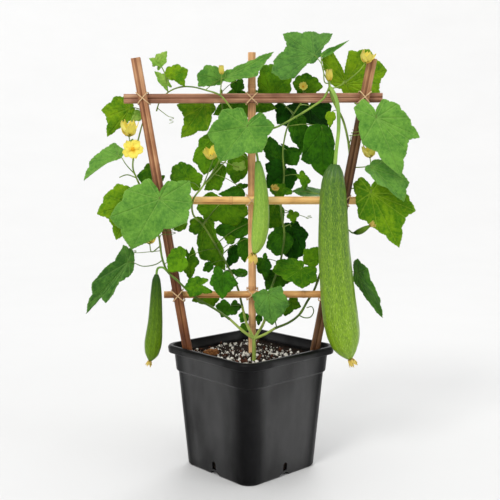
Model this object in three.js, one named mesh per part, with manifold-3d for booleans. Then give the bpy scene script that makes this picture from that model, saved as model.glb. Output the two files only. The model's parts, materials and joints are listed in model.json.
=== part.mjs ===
// Potted luffa: a square nursery pot of soil, a lashed cane trellis, and a luffa vine grown over it.
// Millimetres, +Z up. The origin is the middle of the pot's underside. The trellis stands in the XZ
// plane with its front towards -Y, and one corner of the pot points the same way.

import * as THREE from 'three';
import { mergeVertices } from 'three/addons/utils/BufferGeometryUtils.js';
import Module from 'manifold-3d';

const wasm = await Module();
wasm.setup();

// Fits shared by all pieces
const GAP = 0.35;
const SLIVER = 0.3;
const DEGREE = Math.PI / 180;

// Pot: half the side of the rounded square, its corner radius and the height, up the outside and down
const POT_YAW = 42.97 * DEGREE;
const POT_HEIGHT = 242;
const POT_FLOOR = 3;
const POT_CORNER_STEPS = 4;
const POT_OUTSIDE = [
  [93.5, 24, 0],
  [96, 26, 3],
  [109.5, 28, 189],
  [113, 29, 193],
  [115.5, 29, 226],
  [124, 30, 227.5],
  [125, 30, 238],
  [122.5, 29, POT_HEIGHT],
];
const POT_INSIDE = [
  [116.5, 26, POT_HEIGHT],
  [112.5, 26, 226],
  [110, 25, 194],
  [106.5, 25, 188],
  [93, 22, POT_FLOOR],
];
const DRAIN = { width: 10, low: 11, high: 27, notchWidth: 26, notchHeight: 7, notchDepth: 10, wall: 2.5 };
const CUT_REACH = 15;

// Soil
const SOIL_LEVEL = 221;
const SOIL_RINGS = [1, 0.8, 0.58, 0.34];
const SWELL = { height: 3, lengthX: 31, lengthY: 27 };
const RIPPLE = { height: 1.6, lengthX: 11, lengthY: 9 };
const SOIL_EDGE_DROP = 4;
const SOIL_MARGIN = 12;
const GRAIN = { count: 20, small: 3, large: 4.6 };
const CHIP = { count: 6, length: 15, width: 9, thickness: 4, tilt: 0.9 };
const CLOD = { at: [-78, 22], radius: 13, spread: 1.3, flatness: 0.6 };
const SOIL_SEED = 20;

// Trellis canes: foot or left end, top or right end, and where the knots of the culm lie along it
const SLAT_WIDTH = 18;
const SLAT_DEPTH = 13.5;
const SLAT_GROOVE = { depth: 1.6, half: 2 };
const SLAT_ROUND = 3;
const BAR_FRONT = -7.75;
const UPRIGHT_Y = BAR_FRONT - 0.3 - SLAT_DEPTH / 2;
const CANES = {
  cane_left: { path: [[-96, UPRIGHT_Y, 66], [-124, UPRIGHT_Y, 235], [-218, UPRIGHT_Y, 797]], slat: true },
  cane_right: { path: [[95, UPRIGHT_Y, 66], [126, UPRIGHT_Y, 235], [230, UPRIGHT_Y, 796]], slat: true },
  cane_centre: {
    path: [[4, 19, 60], [3, 17, 235], [3, 15.7, 342], [2, 16.2, 527], [2, 14.8, 722], [2, 14.6, 811]],
    radius: 7.7,
    knots: [0.29, 0.39, 0.795, 0.915],
  },
  bar_top: { path: [[-243, -0.75, 722], [252, -0.75, 724]], slat: true },
  bar_middle: { path: [[-196, 0, 527], [208, 0, 527]], radius: 7.75, knots: [0.39, 0.85] },
  bar_bottom: { path: [[-170, -0.75, 342], [172, -0.75, 343]], radius: 7, knots: [0.33, 0.8] },
};
const KNOT = { reach: 5, half: 1.5, swell: 1.09 };
const CULM_SIDES = 8;

// Twine lashings: crossing of an upright and a bar, and the depths between which the twine wraps
const TWINE_RADIUS = 1.3;
const TWINE_ROOM = 2.5;
const TWINE_SEAT = 1.05;
const TWINE_MITRE = Math.SQRT2;
const UPRIGHT_FRONT = UPRIGHT_Y - SLAT_DEPTH / 2;
const LASHINGS = {
  tie_top_left: { at: [-205.5, 722], lean: 9.5, front: UPRIGHT_FRONT, back: 6 },
  tie_top_centre: { at: [2, 723], lean: 0, front: -7.5, back: 22 },
  tie_top_right: { at: [216.3, 724], lean: -10.5, front: UPRIGHT_FRONT, back: 6 },
  tie_middle_left: { at: [-172.8, 527], lean: 9.5, front: UPRIGHT_FRONT, back: 7.3 },
  tie_middle_centre: { at: [2, 527], lean: 0, front: -7.3, back: 23.4 },
  tie_middle_right: { at: [180, 527], lean: -10.5, front: UPRIGHT_FRONT, back: 7.3 },
  tie_bottom_left: { at: [-141.9, 342], lean: 9.5, front: UPRIGHT_FRONT, back: 5.8 },
  tie_bottom_centre: { at: [3, 342.5], lean: 0, front: -7.3, back: 23.5 },
  tie_bottom_right: { at: [145.8, 343], lean: -10.5, front: UPRIGHT_FRONT, back: 5.8 },
};

// Luffa leaf: angle from the middle lobe and reach, as a share of the leaf's length, for each lobe
const LOBES = [[-150, 0.54], [-98, 0.7], [-48, 0.86], [0, 1], [48, 0.86], [98, 0.7], [150, 0.54]];
const SMALL_LOBES = [[-135, 0.6], [-62, 0.8], [0, 1], [62, 0.8], [135, 0.6]];
const NOTCH_SHARE = 0.6;
const NOTCH_DEPTH = 0.08;
const LOBE_DEPTH = 0.27;
const LOBE_SPAN = 26;
const LOBE_POWER = 0.9;
const SINUS_REACH = 0.1;
const BLADE = 0.9;
const BIG_LEAF = 104;
const SMALL_LEAF = 50;
const INNER_RING = 0.55;
const SHOULDER = 0.45;
const WIDE_GAP = 240;
const SOFT_FOLD = 0.08;
const WAVE = { height: 0.05, waves: 3.2 };
const LEAF_STALK = { radius: [1.3, 1], arch: 0.06, end: SINUS_REACH * 0.6 };
const UPHILL_COST = 0.3;
const SESSILE = 3;

// The main stem and the start of each runner out of it
const STEM_FOOT = [5, -42, 150];
const STEM_FORK = [6, -41, 262];
const STEM = {
  trunk: [STEM_FOOT, [6, -45, 226], STEM_FORK],
  left: [STEM_FORK, [-15, -25, 274], [-41, -12, 295]],
  middle: [STEM_FORK, [-9, -10, 289], [-17, 20, 316]],
  centre: [STEM_FORK, [26, 0, 287], [32, 24, 315]],
  right: [STEM_FORK, [28, -34, 270], [47, -26, 280]],
};
const TRUNK_RADIUS = [4.6, 3.8];
const BRANCH_RADIUS = [3.6, 3];
const FLOWER_STALK_RADIUS = [1.4, 1.2];
const TENDRIL_RADIUS = [1.1, 0.8];
const TENDRIL_TURN_STEPS = 5;

// Distance between the rings of each kind of stem
const TRUNK_STEP = 28;
const BRANCH_STEP = 18;
const RUNNER_STEP = 28;
const STALK_STEP = 36;
const FRUIT_STALK_STEP = 24;
const TENDRIL_STEP = 13;

// Runners: the points that each passes, its leaves, the stalks of its flowers and its tendrils.
// A leaf has the place of its stalk, its tip, where its face looks (azimuth from the front, elevation),
// how wide each half is, how far the halves fold forward, and how far the blade arches.
const RUNNERS = {
  vine_left: {
    path: [
      [-41, -12, 295], [-70, -10, 315], [-99, -14, 333], [-118, -24, 350], [-140, -36, 374],
      [-159, -38, 392],
      [-170, -34, 418], [-175, -30, 452], [-184, -12, 486], [-198, 4, 516], [-212, 8, 547],
      [-221, -6, 571],
      [-226, -16, 590], [-224, -16, 613], [-217, -4, 643], [-210, 14, 676], [-200, 22, 704],
    ],
    radius: [2.8, 1.6],
    leaves: [
      { at: [-172, -48, 531], tip: [-225, -62, 437], face: [0, 12], wide: [1, 1], fold: 0.08, bend: 0.12,
        from: [-175, -30, 455], via: [[-178, -44, 495]],
        lobes: [[-119, 0.43], [-77, 0.6], [-40, 0.91], [0, 1], [79, 0.64], [113, 0.57],
          [152, 0.62], [182, 0.37]] },
      { at: [-225, -32, 522], tip: [-292, -42, 503], face: [-8, 5], wide: [1, 1], fold: 0.06, bend: 0.1,
        lobes: [[-92, 0.5], [-69, 0.69], [-33, 0.79], [0, 1], [17, 0.76], [49, 1.08], [63, 0.81]] },
      { at: [-232, -54, 413], tip: [-309, -79, 317], face: [58, 14], wide: [1, 1], fold: 0.18, bend: 0.16,
        from: [-170, -34, 414], via: [[-181, -52, 408], [-205, -54, 405]],
        lobes: [[-159, 0.2], [-119, 0.31], [-29, 0.65], [0, 1], [-6, 0.67], [9, 0.7],
          [11, 0.33], [47, 0.22]] },
      { at: [-236, 26, 706], tip: [-280, 18, 650], face: [4, 6], wide: [1, 1], fold: 0.08, bend: 0.1,
        lobes: [[-124, 0.33], [-90, 0.51], [-47, 0.77], [-30, 0.68], [0, 1], [13, 0.57], [59, 0.32]] },
      { at: [-215, 4, 697], tip: [-230, -6, 679], face: [20, 12], wide: [1, 1], fold: 0.1, bend: 0.1,
        lobes: [[-70, 0.36], [0, 1], [43, 0.72]] },
      { at: [-252, -28, 613], tip: [-316, -48, 569], face: [-14, 35], wide: [1, 1], fold: -0.1, bend: 0.1,
        from: [-224, -10, 579], via: [[-238, -20, 596]],
        lobes: [[-121, 0.35], [-108, 0.5], [-72, 0.46], [-35, 0.7], [0, 1], [-7, 0.53], [11, 0.2]] },
      { at: [-232, -6, 626], tip: [-227, -4, 646], face: [0, 30], wide: [0.9, 0.9], fold: 0.2, bend: 0.1,
        lobes: [[-41, 0.62], [0, 1], [80, 0.77]] },
      { at: [-188, 25, 568], tip: [-225, 32, 574], face: [6, 4], wide: [1, 1], fold: 0.08, bend: 0.1,
        lobes: [[-93, 0.84], [-52, 0.92], [0, 1], [60, 0.74], [121, 0.73], [208, 0.52]] },
      { at: [-130, -36, 420], tip: [-158, -42, 392], face: [6, 10], wide: [1, 1], fold: 0.1, bend: 0.12,
        lobes: [[-121, 0.56], [-80, 0.66], [-39, 0.79], [0, 1], [41, 0.71]] },
      { at: [-100, -28, 365], tip: [-128, -32, 361], face: [0, 18], wide: [1, 1], fold: 0.12, bend: 0.1,
        lobes: [[-154, 0.76], [-87, 0.63], [-40, 0.82], [0, 1], [45, 1.04], [139, 1.03]] },
      { at: [-95, 20, 336], tip: [-73, 24, 314], face: [0, 30], wide: [1, 1], fold: 0.1, bend: 0.12,
        lobes: [[-114, 0.81], [-66, 0.54], [0, 1], [32, 1.09]] },
      { at: [-132, 20, 486], tip: [-142, 22, 464], face: [0, 10], wide: [1, 1], fold: 0.1, bend: 0.1,
        lobes: [[-58, 0.72], [-24, 1.16], [0, 1], [37, 0.68]] },
    ],
    stalks: [
      [[-224, -16, 604], [-229, -18, 628], [-232, -20, 650]],
      [[-226, -16, 594], [-225, -20, 618], [-223, -34, 624]],
      [[-175, -30, 440], [-190, -34, 430], [-193, -38, 446]],
      [[-221, -6, 571], [-238, -14, 577], [-252, -18, 572]],
    ],
    tendrils: [
      { start: [-175, -30, 452], centre: [-161, -14.8, 462], radius: [17, 14], rise: 7, turns: 2.2,
        from: 228, lean: -0.167 },
      { start: [-173, -32, 432], centre: [-222, -36, 428], radius: [5, 3], rise: 3, turns: 1.8, from: 60 },
    ],
  },
  vine_middle: {
    path: [
      [-17, 20, 316], [-26, 32, 350], [-46, 36, 394], [-73, 34, 441], [-94, 22, 477], [-112, -2, 500],
      [-111, -20, 529], [-92, -20, 555], [-73, -4, 582], [-56, 12, 617], [-48, 16, 652], [-54, 14, 690],
      [-56, 6, 738], [-58, -18, 735],
    ],
    radius: [2.6, 1.6],
    leaves: [
      { at: [-28, 32, 757], tip: [-24, 36, 734], face: [0, 4], wide: [1, 1], fold: 0.1, bend: 0.1,
        lobes: [[-127, 0.51], [-60, 0.65], [0, 1], [43, 0.83], [96, 0.57]] },
      { at: [-91, 28, 712], tip: [-138, 36, 648], face: [-4, 4], wide: [1, 1], fold: 0.08, bend: 0.1,
        lobes: [[-87, 0.36], [-54, 0.68], [-23, 0.57], [0, 1], [46, 0.61], [113, 0.3]] },
      { at: [-75, 42, 646], tip: [-116, 48, 605], face: [6, 6], wide: [1, 1], fold: 0.1, bend: 0.1,
        lobes: [[-49, 0.45], [0, 1], [31, 1.24], [60, 0.93]] },
      { at: [-122, 24, 566], tip: [-155, 32, 592], face: [8, 6], wide: [1, 1], fold: 0.1, bend: 0.12,
        lobes: [[-182, 0.68], [-123, 0.69], [-59, 0.7], [-27, 0.94], [0, 1], [30, 0.88], [69, 0.81]] },
      { at: [-87, 38, 482], tip: [-51, 48, 383], face: [-6, 8], wide: [1, 1], fold: 0.1, bend: 0.1,
        lobes: [[-82, 0.15], [-48, 0.43], [-32, 0.7], [0, 1], [12, 0.57], [12, 0.35], [72, 0.13]] },
      { at: [-58, 60, 591], tip: [-95, 68, 544], face: [10, 10], wide: [1, 1], fold: 0.12, bend: 0.1,
        lobes: [[-16, 0.45], [0, 1], [32, 0.78], [55, 0.37]] },
      { at: [-54, -20, 384], tip: [-55, -28, 337], face: [0, 10], wide: [1, 1], fold: 0.14, bend: 0.12,
        lobes: [[-130, 0.48], [-56, 0.65], [-16, 0.8], [0, 1], [31, 0.71], [62, 0.73], [115, 0.27]] },
      { at: [-34, 66, 429], tip: [-50, 72, 385], face: [14, 8], wide: [1, 1], fold: 0.1, bend: 0.1,
        lobes: [[-49, 0.29], [0, 1], [32, 0.68], [87, 0.33]] },
      { at: [-56, 58, 519], tip: [-30, 66, 471], face: [-14, 8], wide: [1, 1], fold: 0.1, bend: 0.1,
        lobes: [[-127, 0.86], [-106, 0.99], [-72, 0.91], [0, 1], [40, 1], [71, 0.9]] },
      { at: [-122, 22, 412], tip: [-120, 18, 368], face: [10, 20], wide: [1, 1], fold: 0.1, bend: 0.1,
        lobes: [[-162, 0.43], [-27, 0.64], [0, 1], [66, 0.49], [158, 0.52]] },
      { at: [-40, 30, 312], tip: [-59, 22, 293], face: [-10, 34], wide: [1, 1], fold: 0.16, bend: 0.12,
        lobes: [[-88, 0.85], [-51, 1.09], [0, 1], [75, 0.8], [134, 0.81], [191, 0.66]] },
      { at: [-12, 6, 302], tip: [-20, -1, 286], face: [0, 20], wide: [0.9, 0.9], fold: 0.12, bend: 0.1,
        lobes: [[-58, 0.7], [0, 1], [52, 0.87]] },
      { at: [-9, 38, 605], tip: [-33, 42, 558], face: [-8, 12], wide: [1, 1], fold: 0.12, bend: 0.1,
        lobes: [[-104, 0.43], [-69, 0.69], [-35, 0.87], [0, 1], [21, 0.67], [56, 0.34]] },
      { at: [-21, 31, 550], tip: [-65, 33, 538], face: [8, 8], wide: [1, 1], fold: 0.12, bend: 0.1,
        lobes: [[-168, 0.38], [-103, 0.22], [-9, 0.57], [0, 1], [41, 0.62], [98, 0.42]] },
      { at: [-9, 44, 729], tip: [-75, 48, 694], face: [0, 6], wide: [1, 1], fold: 0.1, bend: 0.1,
        lobes: [[-36, 0.53], [0, 1], [63, 0.56], [131, 0.87], [163, 0.42]] },
      { at: [-10, 54, 378], tip: [-50, 58, 381], face: [4, 30], wide: [1, 1], fold: 0.1, bend: 0.1,
        lobes: [[-37, 0.33], [0, 1], [37, 0.45]] },
      { at: [-10, 50, 445], tip: [-12, 54, 399], face: [4, 8], wide: [1, 1], fold: 0.1, bend: 0.1,
        lobes: [[-70, 0.4], [-26, 0.73], [0, 1], [30, 0.5]] },
      { at: [-79, 30, 399], tip: [-96, 32, 385], face: [0, 14], wide: [1, 1], fold: 0.1, bend: 0.1,
        lobes: [[-47, 0.57], [0, 1], [37, 0.8]] },
      { at: [-34, 46, 444], tip: [-52, 48, 451], face: [0, 14], wide: [1, 1], fold: 0.1, bend: 0.1,
        lobes: [[-42, 0.66], [0, 1], [45, 0.76]] },
      { at: [-11, 14, 280], tip: [-17, 12, 263], face: [0, 20], wide: [1, 1], fold: 0.1, bend: 0.1,
        from: [-21, 26, 334], via: [[-14, 18, 302]],
        lobes: [[-38, 0.75], [0, 1], [46, 0.7]] },
      { at: [-23, 24, 590], tip: [-13, 22, 604], face: [0, 20], wide: [1, 1], fold: 0.1, bend: 0.1,
        lobes: [[-56, 0.83], [0, 1], [32, 0.6]] },
      { at: [-23, 24, 590], tip: [-36, 22, 599], face: [0, 20], wide: [1, 1], fold: 0.1, bend: 0.1,
        lobes: [[-36, 0.75], [0, 1], [46, 0.79]] },
      { at: [-6, 64, 478], tip: [-75, 68, 462], face: [0, 8], wide: [1, 1], fold: 0.1, bend: 0.1,
        lobes: [[-47, 0.27], [-23, 0.67], [0, 1], [29, 0.78], [57, 0.45]] },
      { at: [-97, 40, 482], tip: [-124, 42, 464], face: [4, 10], wide: [1, 1], fold: 0.1, bend: 0.1,
        lobes: [[-80, 0.47], [-43, 0.75], [0, 1], [27, 0.91], [51, 0.61]] },
    ],
    stalks: [
      [[-92, -20, 555], [-80, -16, 585], [-71, -20, 608]],
      [[-92, -20, 555], [-70, -14, 578], [-44, -10, 608], [-30, -8, 624]],
    ],
    tendrils: [],
  },
  vine_centre: {
    path: [
      [32, 24, 315], [43, 36, 354], [59, 42, 401], [67, 42, 454], [60, 38, 514], [66, 38, 574],
      [64, 40, 629],
      [76, 42, 680], [97, 34, 714], [114, 20, 740],
    ],
    radius: [2.8, 1.6],
    leaves: [
      { at: [76, 18, 322], tip: [68, 14, 296], face: [10, 10], wide: [1, 1], fold: 0.12, bend: 0.1,
        lobes: [[-33, 0.77], [0, 1], [89, 0.93], [143, 0.74]] },
      { at: [57, 46, 371], tip: [31, 48, 344], face: [0, 8], wide: [1, 1], fold: 0.1, bend: 0.1,
        lobes: [[-52, 0.89], [0, 1], [66, 0.59], [115, 0.69]] },
      { at: [26, 34, 407], tip: [33, 34, 368], face: [-12, 10], wide: [0.8, 0.8], fold: 0.1, bend: 0.1,
        lobes: [[-86, 0.57], [-42, 0.76], [0, 1], [51, 0.59], [146, 0.39]] },
      { at: [99, 14, 391], tip: [42, 20, 388], face: [0, 34], wide: [1, 1], fold: 0.18, bend: 0.14,
        lobes: [[-105, 0.31], [-50, 0.51], [-23, 0.89], [0, 1], [41, 0.72], [93, 0.81],
          [139, 0.72], [182, 0.55]] },
      { at: [114, 34, 400], tip: [133, 32, 434], face: [12, 12], wide: [1, 1], fold: 0.1, bend: 0.12,
        lobes: [[-40, 0.78], [0, 1], [45, 0.79], [71, 0.37]] },
      { at: [81, 58, 471], tip: [86, 66, 397], face: [8, 6], wide: [1, 1], fold: 0.1, bend: 0.1,
        lobes: [[-118, 0.21], [-51, 0.34], [-17, 0.79], [0, 1], [20, 0.85], [65, 0.51], [129, 0.23]] },
      { at: [49, 74, 512], tip: [62, 80, 463], face: [-10, 6], wide: [1, 1], fold: 0.1, bend: 0.1,
        lobes: [[-105, 0.36], [-34, 0.94], [0, 1], [20, 0.66]] },
      { at: [84, 30, 501], tip: [85, 30, 480], face: [0, 14], wide: [1, 1], fold: 0.12, bend: 0.1,
        lobes: [[-127, 0.48], [-61, 0.74], [0, 1], [69, 0.64]] },
      { at: [65, 24, 550], tip: [37, 28, 546], face: [0, 14], wide: [1, 1], fold: 0.12, bend: 0.1,
        lobes: [[-99, 0.33], [-29, 0.8], [0, 1], [49, 0.92], [137, 0.7]] },
      { at: [97, 26, 574], tip: [106, 20, 546], face: [8, 12], wide: [0.9, 0.9], fold: 0.1, bend: 0.12,
        lobes: [[-117, 0.3], [0, 1], [51, 0.84], [131, 0.46]] },
      { at: [70, 52, 585], tip: [59, 60, 543], face: [6, 8], wide: [1, 1], fold: 0.1, bend: 0.1,
        lobes: [[-94, 1], [-32, 1.18], [0, 1], [33, 0.9], [72, 0.66]] },
      { at: [73, 68, 625], tip: [106, 70, 625], face: [-8, 8], wide: [1, 1], fold: 0.1, bend: 0.1,
        lobes: [[-191, 0.8], [-116, 1.01], [-59, 1.12], [0, 1], [131, 0.55]] },
      { at: [139, 22, 664], tip: [143, 32, 572], face: [14, 6], wide: [0.8, 0.8], fold: 0.16, bend: 0.14,
        lobes: [[-47, 0.87], [0, 1], [22, 0.74], [51, 0.43]] },
      { at: [116, 56, 708], tip: [155, 68, 669], face: [8, 4], wide: [1.1, 1.1], fold: 0.1, bend: 0.1,
        lobes: [[-144, 0.68], [-91, 0.63], [-38, 0.54], [0, 1], [47, 0.8]] },
      { at: [69, 76, 709], tip: [53, 82, 678], face: [-8, 4], wide: [0.8, 0.8], fold: 0.12, bend: 0.1,
        lobes: [[-77, 0.78], [0, 1], [51, 1.25], [92, 1.29]] },
      { at: [107, 16, 738], tip: [108, 18, 773], face: [0, 8], wide: [0.9, 0.9], fold: 0.1, bend: 0.1,
        lobes: [[-112, 0.54], [-77, 1.05], [-42, 0.98], [0, 1], [37, 0.99], [64, 0.95], [120, 0.56]] },
      { at: [42, 34, 730], tip: [41, 34, 792], face: [-6, 6], wide: [1, 1], fold: 0.1, bend: 0.1,
        lobes: [[-77, 0.62], [-40, 1.01], [0, 1], [18, 1.02], [42, 0.68], [74, 0.46]] },
      { at: [135, 32, 538], tip: [82, 36, 544], face: [0, 60], wide: [0.55, 0.55], fold: 0.12, bend: 0.1 },
      { at: [91, 44, 686], tip: [104, 46, 620], face: [4, 6], wide: [1, 1], fold: 0.1, bend: 0.1,
        lobes: [[-119, 0.18], [-53, 0.4], [-24, 0.66], [0, 1], [27, 0.71], [92, 0.25]] },
      { at: [67, 48, 459], tip: [31, 50, 430], face: [0, 6], wide: [1, 1], fold: 0.1, bend: 0.1,
        lobes: [[-76, 0.45], [-29, 0.71], [0, 1], [32, 1.05], [60, 0.91]] },
      { at: [16, 12, 298], tip: [15, 10, 278], face: [0, 20], wide: [1, 1], fold: 0.1, bend: 0.1,
        lobes: [[-41, 0.47], [0, 1], [43, 0.57]] },
      { at: [60, 52, 605], tip: [22, 56, 637], face: [4, 8], wide: [1, 1], fold: 0.1, bend: 0.1,
        lobes: [[-64, 0.5], [-25, 1.05], [0, 1], [33, 0.6]] },
    ],
    stalks: [
      [[97, 34, 714], [101, 8, 737], [100, -4, 744]],
      [[64, 38, 540], [50, 24, 540], [46, 12, 548]],
    ],
    tendrils: [
      { start: [62, 40, 508], centre: [116, 26, 490], radius: [7, 4], rise: 4, turns: 1.7, from: 100 },
    ],
  },
  vine_right: {
    path: [
      [47, -26, 280], [77, -8, 289], [97, 6, 302], [112, 16, 325], [126, 19, 348], [142, 22, 392],
      [164, 17, 436], [182, 14, 473], [189, 17, 512], [192, 17, 547], [192, 6, 590], [190, 4, 632],
      [178, 4, 682], [165, -4, 704], [155, -14, 722], [150, -15, 740], [149, -14, 754],
    ],
    radius: [2.8, 2.6],
    leaves: [
      { at: [34, -32, 348], tip: [41, -42, 289], face: [0, 12], wide: [1, 1], fold: 0.1, bend: 0.12,
        lobes: [[-132, 0.25], [-94, 0.53], [-40, 0.72], [0, 1], [27, 0.8], [56, 0.76],
          [116, 0.5], [136, 0.25]] },
      { at: [235, -46, 683], tip: [279, -64, 573], face: [0, 8], wide: [1, 1], fold: 0.08, bend: 0.1,
        from: [190, 4, 640], via: [[206, 8, 652], [226, -2, 666], [234, -28, 678]],
        lobes: [[-166, 0.38], [-136, 0.39], [-52, 0.46], [0, 1], [20, 0.7], [34, 0.61],
          [44, 0.74], [68, 0.5], [101, 0.4], [134, 0.34]] },
      { at: [230, -44, 590], tip: [289, -58, 529], face: [22, 44], wide: [1, 1], fold: 0.16, bend: 0.14,
        lobes: [[-108, 0.25], [-47, 0.5], [0, 1], [33, 0.92], [86, 0.38]] },
      { at: [232, -8, 542], tip: [287, -24, 437], face: [0, 4], wide: [1, 1], fold: 0.06, bend: 0.08,
        lobes: [[-172, 0.31], [-145, 0.32], [-83, 0.29], [-54, 0.45], [-17, 0.62], [0, 1],
          [26, 0.68], [40, 0.77], [59, 0.59], [116, 0.3]] },
      { at: [207, -14, 385], tip: [254, -34, 301], face: [-60, 10], wide: [0.8, 0.8], fold: 0.12, bend: 0.14,
        lobes: [[-34, 0.31], [-9, 0.64], [0, 1], [32, 0.76], [88, 0.42], [135, 0.36]] },
      { at: [186, 34, 753], tip: [270, 48, 781], face: [0, -10], wide: [1, 1], fold: 0.08, bend: 0.06,
        lobes: [[-260, 0.78], [-241, 0.77], [-204, 0.4], [-79, 0.51], [-39, 0.82],
          [-17, 0.76], [0, 1], [39, 0.9], [70, 0.71]] },
      { at: [120, -14, 803], tip: [38, -44, 766], face: [-6, 14], wide: [1, 1], fold: -0.06, bend: 0.14,
        from: [149, -14, 750], via: [[140, -21, 751], [136, -21, 780]],
        lobes: [[-165, 0.22], [-154, 0.8], [-117, 0.56], [-63, 0.76], [-45, 0.57],
          [-16, 0.84], [0, 1], [14, 0.94], [25, 0.7], [25, 0.27]] },
      { at: [153, -12, 694], tip: [151, -14, 666], face: [0, 10], wide: [0.8, 0.8], fold: 0.1, bend: 0.1,
        lobes: [[-59, 0.56], [0, 1], [57, 0.55]] },
      { at: [137, -14, 803], tip: [185, -22, 830], face: [0, 10], wide: [0.3, 0.3], fold: 0.1, bend: -0.2,
        from: [149, -14, 750], via: [[138, -16, 770]],
        lobes: [[-60, 0.45], [0, 1], [60, 0.45]] },
    ],
    stalks: [
      [[150, -15, 740], [166, -12, 744], [202, -26, 770], [215, -28, 786]],
      [[192, 6, 590], [228, -22, 596], [227, -24, 610]],
      [[95, 5, 300], [107, 4, 295], [118, 2, 297], [124, 0, 309], [120, 0, 318], [110, -2, 316]],
    ],
    tendrils: [
      { start: [190, 4, 632], centre: [204, -14.8, 650], radius: [18, 14], rise: 6, turns: 2.2,
        from: 126, lean: 0.185 },
    ],
  },
  vine_arch: {
    path: [
      [149, -18, 742], [143, -23, 730], [136, -26, 719], [119, -28, 707], [95, -31, 692],
      [69, -34, 677],
      [46, -36, 666], [20, -36, 662], [-8, -34, 668], [-34, -28, 698], [-58, -21, 727], [-85, -16, 737],
      [-112, -8, 744], [-136, 0, 744], [-160, 12, 735], [-177, 17, 717], [-184, 24, 700],
    ],
    radius: [2.4, 1.5],
    leaves: [
      { at: [-7, -46, 667], tip: [-58, -60, 602], face: [0, 10], wide: [1, 1], fold: 0.08, bend: 0.1,
        lobes: [[-120, 0.48], [-86, 0.67], [-42, 0.91], [0, 1], [67, 0.68], [130, 0.62], [169, 0.48]] },
      { at: [-58, 0, 759], tip: [-100, -10, 745], face: [0, 8], wide: [1, 1], fold: 0.08, bend: 0.1,
        from: [-88, -16, 738],
        lobes: [[-91, 0.59], [-60, 0.85], [-28, 1.01], [0, 1], [15, 0.55], [64, 0.26]] },
      { at: [-47, -17, 762], tip: [43, -20, 810], face: [10, 30], wide: [1, 1], fold: 0.1, bend: -0.1,
        lobes: [[-43, 0.24], [-31, 0.6], [-12, 0.74], [0, 1], [10, 0.46], [73, 0.12]] },
      { at: [-155, 2, 763], tip: [-119, -4, 776], face: [0, 10], wide: [1, 1], fold: 0.1, bend: 0.1,
        lobes: [[-53, 0.26], [-52, 0.92], [0, 1], [38, 0.76], [86, 0.52]] },
      { at: [-176, 2, 790], tip: [-160, 0, 812], face: [0, 20], wide: [0.7, 0.7], fold: 0.2, bend: 0.1 },
      { at: [-176, 2, 790], tip: [-195, 4, 799], face: [0, 30], wide: [0.7, 0.7], fold: 0.2, bend: 0.1 },
      { at: [-165, 6, 752], tip: [-184, 2, 775], face: [30, 10], wide: [0.6, 0.6], fold: 0.3, bend: 0.1 },
    ],
    stalks: [
      [[-58, -20, 727], [-56, -24, 748], [-55, -26, 765]],
      [[-160, 12, 735], [-166, 4, 773], [-176, 2, 790]],
    ],
    tendrils: [
      { start: [-182, 20, 706], centre: [-155, 22, 690], radius: [6, 4], rise: -7, turns: 2, from: 180 },
    ],
  },
};

// Fruits: path down the middle, radius at each point, the stalk from the runner, and the withered flower
const FRUITS = {
  luffa_large: {
    path: [
      [157, -62, 597], [155.5, -62, 585], [154, -62, 566], [154, -62, 531], [155, -62, 485],
      [157, -62, 437],
      [161, -62, 390], [166, -62, 341], [171, -62, 305], [176, -62, 276], [181, -62, 254],
      [186, -62, 238],
      [189, -62, 229],
    ],
    radii: [8, 15.5, 21, 25, 27.5, 29.5, 31, 32.3, 32.8, 31, 25, 15, 6],
    sides: 20,
    ribs: 0.025,
    stalk: [
      [151, -19, 741], [156, -28, 731], [161, -34, 717], [164, -42, 697], [164, -51, 660],
      [159, -60, 620],
    ],
    stalkRadius: [4.6, 3.8],
    bloom: { reach: 13, tip: [197, -62, 213] },
    runners: ['vine_right', 'vine_arch'],
  },
  luffa_centre: {
    path: [[13, -40, 603], [15, -40, 590], [18, -40, 565], [20, -40, 530], [18.5, -40, 482], [14, -40, 450],
      [9, -40, 434], [6, -40, 429]],
    radii: [4.5, 7.5, 11, 13.8, 16, 13, 7.5, 4],
    sides: 14,
    ribs: 0.03,
    stalk: [[0, -35, 664], [4, -37, 645], [10, -39, 622], [13, -40, 606]],
    stalkRadius: [2, 3],
    bloom: { reach: 16, tip: [2, -40, 414] },
    runners: ['vine_arch'],
  },
  luffa_left: {
    path: [[-180, -44, 388], [-180.5, -44, 378], [-181, -44, 355], [-182, -44, 325], [-184, -44, 290],
      [-188, -44, 255], [-191, -44, 234], [-193, -44, 225], [-194, -44, 221]],
    radii: [3.5, 7.5, 10.3, 12.2, 14.3, 16.5, 13, 7.5, 4],
    sides: 14,
    ribs: 0.03,
    stalk: [[-159, -38, 392], [-168, -42, 401], [-177, -44, 400], [-180, -44, 390]],
    stalkRadius: [2.2, 3],
    bloom: { reach: 9, tip: [-199, -44, 206] },
    runners: ['vine_left'],
  },
  luffa_baby: {
    path: [[198, -28, 466], [203, -30, 467], [210, -33, 470], [218, -36, 475], [226, -38, 480]],
    radii: [2.2, 4.8, 6, 5, 2.4],
    sides: 10,
    ribs: 0.03,
    stalk: [[182, 13, 473], [190, -6, 470], [195, -20, 466], [199, -28.5, 466]],
    stalkRadius: [1.6, 2],
    bloom: { reach: 9, tip: [237, -41, 486] },
    runners: ['vine_right'],
  },
};

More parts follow.
